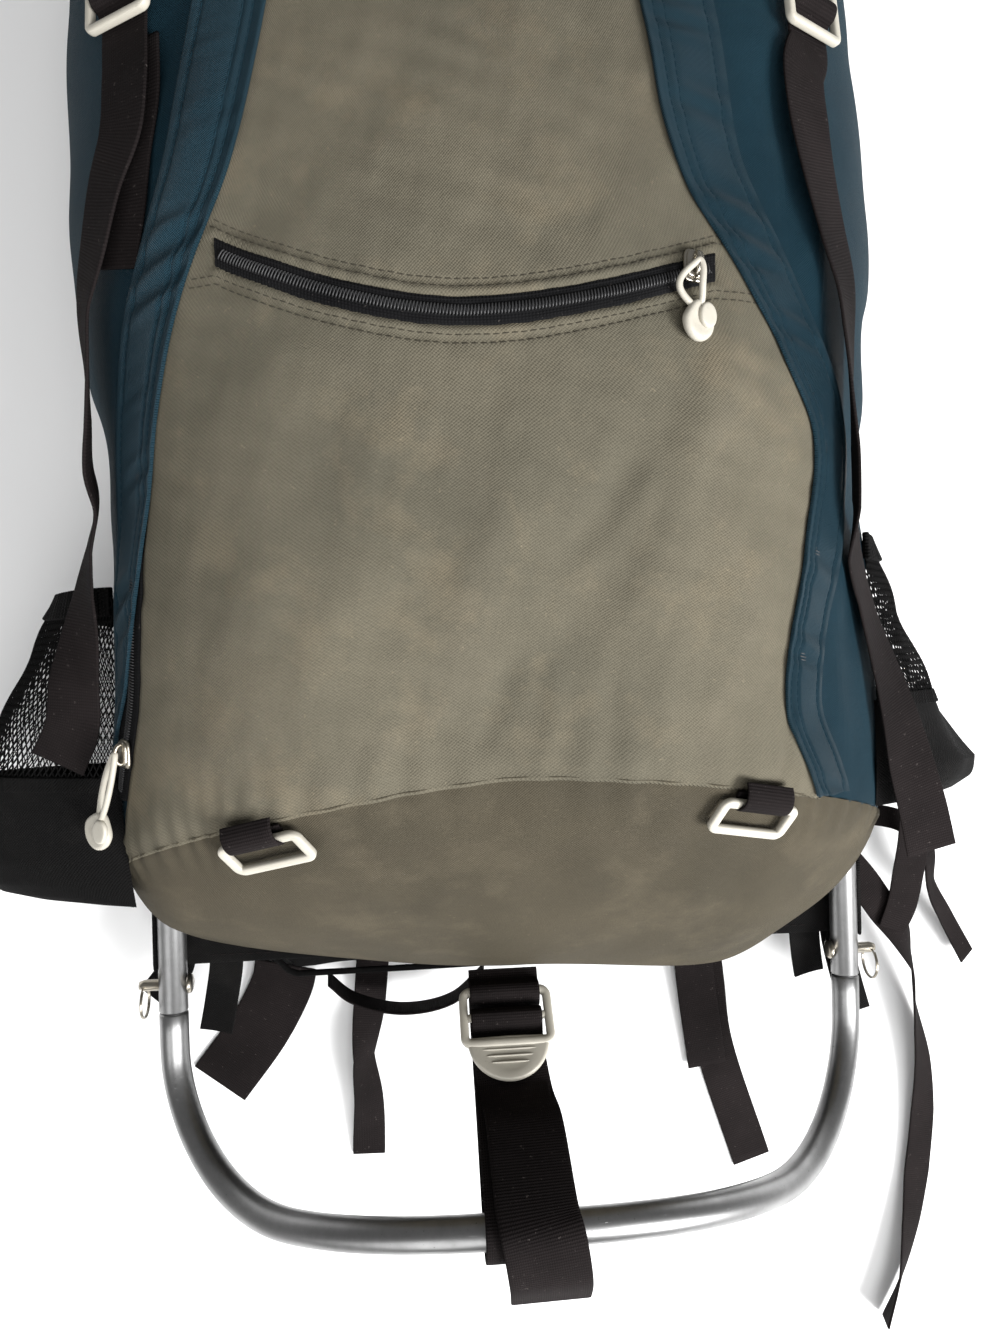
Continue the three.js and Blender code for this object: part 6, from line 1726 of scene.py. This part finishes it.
def cushion(name, middles, sides, faces, widths, thicks, node, reach=0.005):
    """A foam pad: oval sections along a path, blown up as cloth, with a bound edge sewn round it."""
    a = circle(40)
    across, high = squared(np.cos(a), 0.45), squared(np.sin(a), 0.75)
    rings = (
        middles[:, None]
        + sides[:, None] * (widths[:, None] * across[None])[..., None]
        + faces[:, None] * (thicks[:, None] * high[None])[..., None]
    )
    shape = Shape().grid(rings, around=True, ends=True)
    piece = make(name, shape, BLACK, [node], weld=True)
    blown(piece, reach)
    rim_path = np.concatenate([middles + sides * widths[:, None], (middles - sides * widths[:, None])[::-1]])
    inward = unit(middles.mean(0) - rim_path)
    make(name + "_binding", tube(Shape(), rim_path + inward, 1.9, 12, closed=True), BLACK)
    return piece


BELT_LOW, BELT_HIGH = FLOOR, FLOOR + PAD
SHOULDER_PAD = 12.0
SHOULDER_WIDTH = 62.0
SHOULDER_ROUTE = [
    (0.3, 0.795, 3.33), (0.33, 0.72, 1.9), (0.38, 0.64, 0.85), (0.47, 0.53, 0.5), (0.59, 0.4, 0.5),
    (0.7, 0.29, 0.5), (0.75, 0.225, 0.7),
]


def harness():
    """The pads behind the frame: belt wings, lumbar pad and shoulder straps, with stitched channels."""
    rows = []
    ends = np.array([0.0, 0.03, 0.08, 0.2, 0.4, 0.6, 0.8, 0.92, 0.97, 1.0])
    round_end = np.array([0.72, 0.88, 0.97, 1, 1, 1, 1, 0.97, 0.88, 0.72])
    fine = np.linspace(0, 1, 41)
    squeeze = np.interp(fine, ends, round_end)
    for hand, side in HANDS:
        x = 26.0 + (175.5 - 26.0) * fine
        half = np.interp((x - 24) / 153.3, [0, 0.3, 1], [0.62 * 42, 42, 42]) - 3
        middles = vector(side * x, PAD_HEIGHT / 2, (BELT_LOW + BELT_HIGH) / 2)
        sides, faces = vector(0 * x, 1, 0), vector(0 * x, 0, 1)
        node = "belt_wing_" + hand
        cushion("belt_pad_" + hand, middles, sides, faces, half * squeeze, 5.6 * squeeze, node)
        for share in (-0.45, 0.0, 0.45):
            line = middles[3:-3] + sides[3:-3] * (half[3:-3] * share)[:, None] + [0, 0, -8.6]
            rows.append((line, -faces[3:-3]))
        route = np.array(SHOULDER_ROUTE) * [side * HALF_FRAME, FRAME_HEIGHT, SHOULDER_PAD] + [0, 0, FLOOR]
        path = spline(route, 8)
        along = slopes_of(path)
        sides = unit(np.cross([0, 0, 1.0], along))
        faces = unit(np.cross(along, sides))
        size = np.interp(run_of(path) / run_of(path)[-1], ends, round_end)
        half = (SHOULDER_WIDTH / 2 - 3) * size
        node = "shoulder_strap_" + hand
        cushion("shoulder_pad_" + hand, path, sides, faces, half, 4.2 * size, node, 0.003)
        for share in (-0.62, 0.62):
            line = path[4:-4] + sides[4:-4] * share * SHOULDER_WIDTH / 2 - faces[4:-4] * 5.6
            rows.append((line, -faces[4:-4]))
        low = -(TUBE_R + GAP + BAND + GAP + WEB / 2)
        points = np.array(
            [
                (side * 0.75 * HALF_FRAME, 0.225 * FRAME_HEIGHT - 7 * GAP, FLOOR + 0.7 * SHOULDER_PAD),
                (side * 0.8 * HALF_FRAME, 0.185 * FRAME_HEIGHT, FLOOR + 0.5 * FRAME_LIFT),
                (side * 0.9 * HALF_FRAME, BASE_HIGH + 0.4 * MIDDLE_WEB, low - 2 * WEB),
                (side * 0.93 * HALF_FRAME, BASE_HIGH - MIDDLE_WEB, low - GAP),
            ]
        )
        faces = np.repeat([[0.0, 0, 1]], 4, 0)
        web("shoulder_tail_" + hand, points, faces, MIDDLE_WEB, ["shoulder_webbing_" + hand], 16)
    x = np.linspace(-146, 146, 61)
    half = 45.0 - 11 * ease(132, 147, np.abs(x))
    middles = vector(x, (PAD_HEIGHT - 4) / 2, -22.3)
    thick = 7.4 - 2 * ease(120, 147, np.abs(x))
    cushion("lumbar_cushion", middles, vector(0 * x, 1, 0), vector(0 * x, 0, 1), half, thick, "lumbar_pad")
    for y in (10.0, 40.0, 70.0):
        rows.append((vector(x[4:-4], y, -32.9), np.repeat([[0.0, 0, -1]], len(x) - 8, 0)))
    stitched("harness_stitches", rows, WEBBING, "black_cloth", pitch=5.5, long=4.2, thick=0.8)


def belt_buckle():
    """The belt's side-release buckle: a hollow housing, two sprung arms, a tongue and two webbing bars."""
    seat = (np.array([0.0, 42.0, -43.5]), np.array([[0.0, 1, 0], [1, 0, 0], [0, 0, -1.0]]))
    shape = Shape()
    block(shape, (0, -5.5, 0), (13.6, 8.6, 5.0), (0.4, 0.35), 20, 44, seat)
    block(shape, (0, 10.6, 0), (14.2, 3.4, 4.6), (0.4, 0.35), 16, 40, seat)
    for x in (-12.2, 12.2):
        block(shape, (x, 4.6, 0), (2.2, 6.4, 3.6), (0.6, 0.5), 14, 24, seat)
    rod(shape, (0, 0.0, 0), (0, 9.5, 0), 5.0, 3.6, seat)
    for low, high in ((-23, -12.4), (12.4, 23)):
        rim(shape, round_path(28.6, low, high, 2.4), 2.8, 4.0, seat)
    for k in (-2.0, 0.0, 2.0):
        rod(shape, (-8, -6 + k, 5.0), (8, -6 + k, 5.0), 0.9, 0.8, seat, 1.0, 8)
    make("buckle", shape, PLASTIC, ["belt_buckle"], weld=True)


frame_tubes()
clevis_pins()
shell()
lid()
front_cloth()
bottom_cloth()
storm_flaps()
pocket_zip()
side_zips()
zip_hardware()
side_webbing()
lash_loops()
centre_webbing()
loose_webbing()
corner_tabs()
bands()
side_pockets()
harness()
belt_buckle()
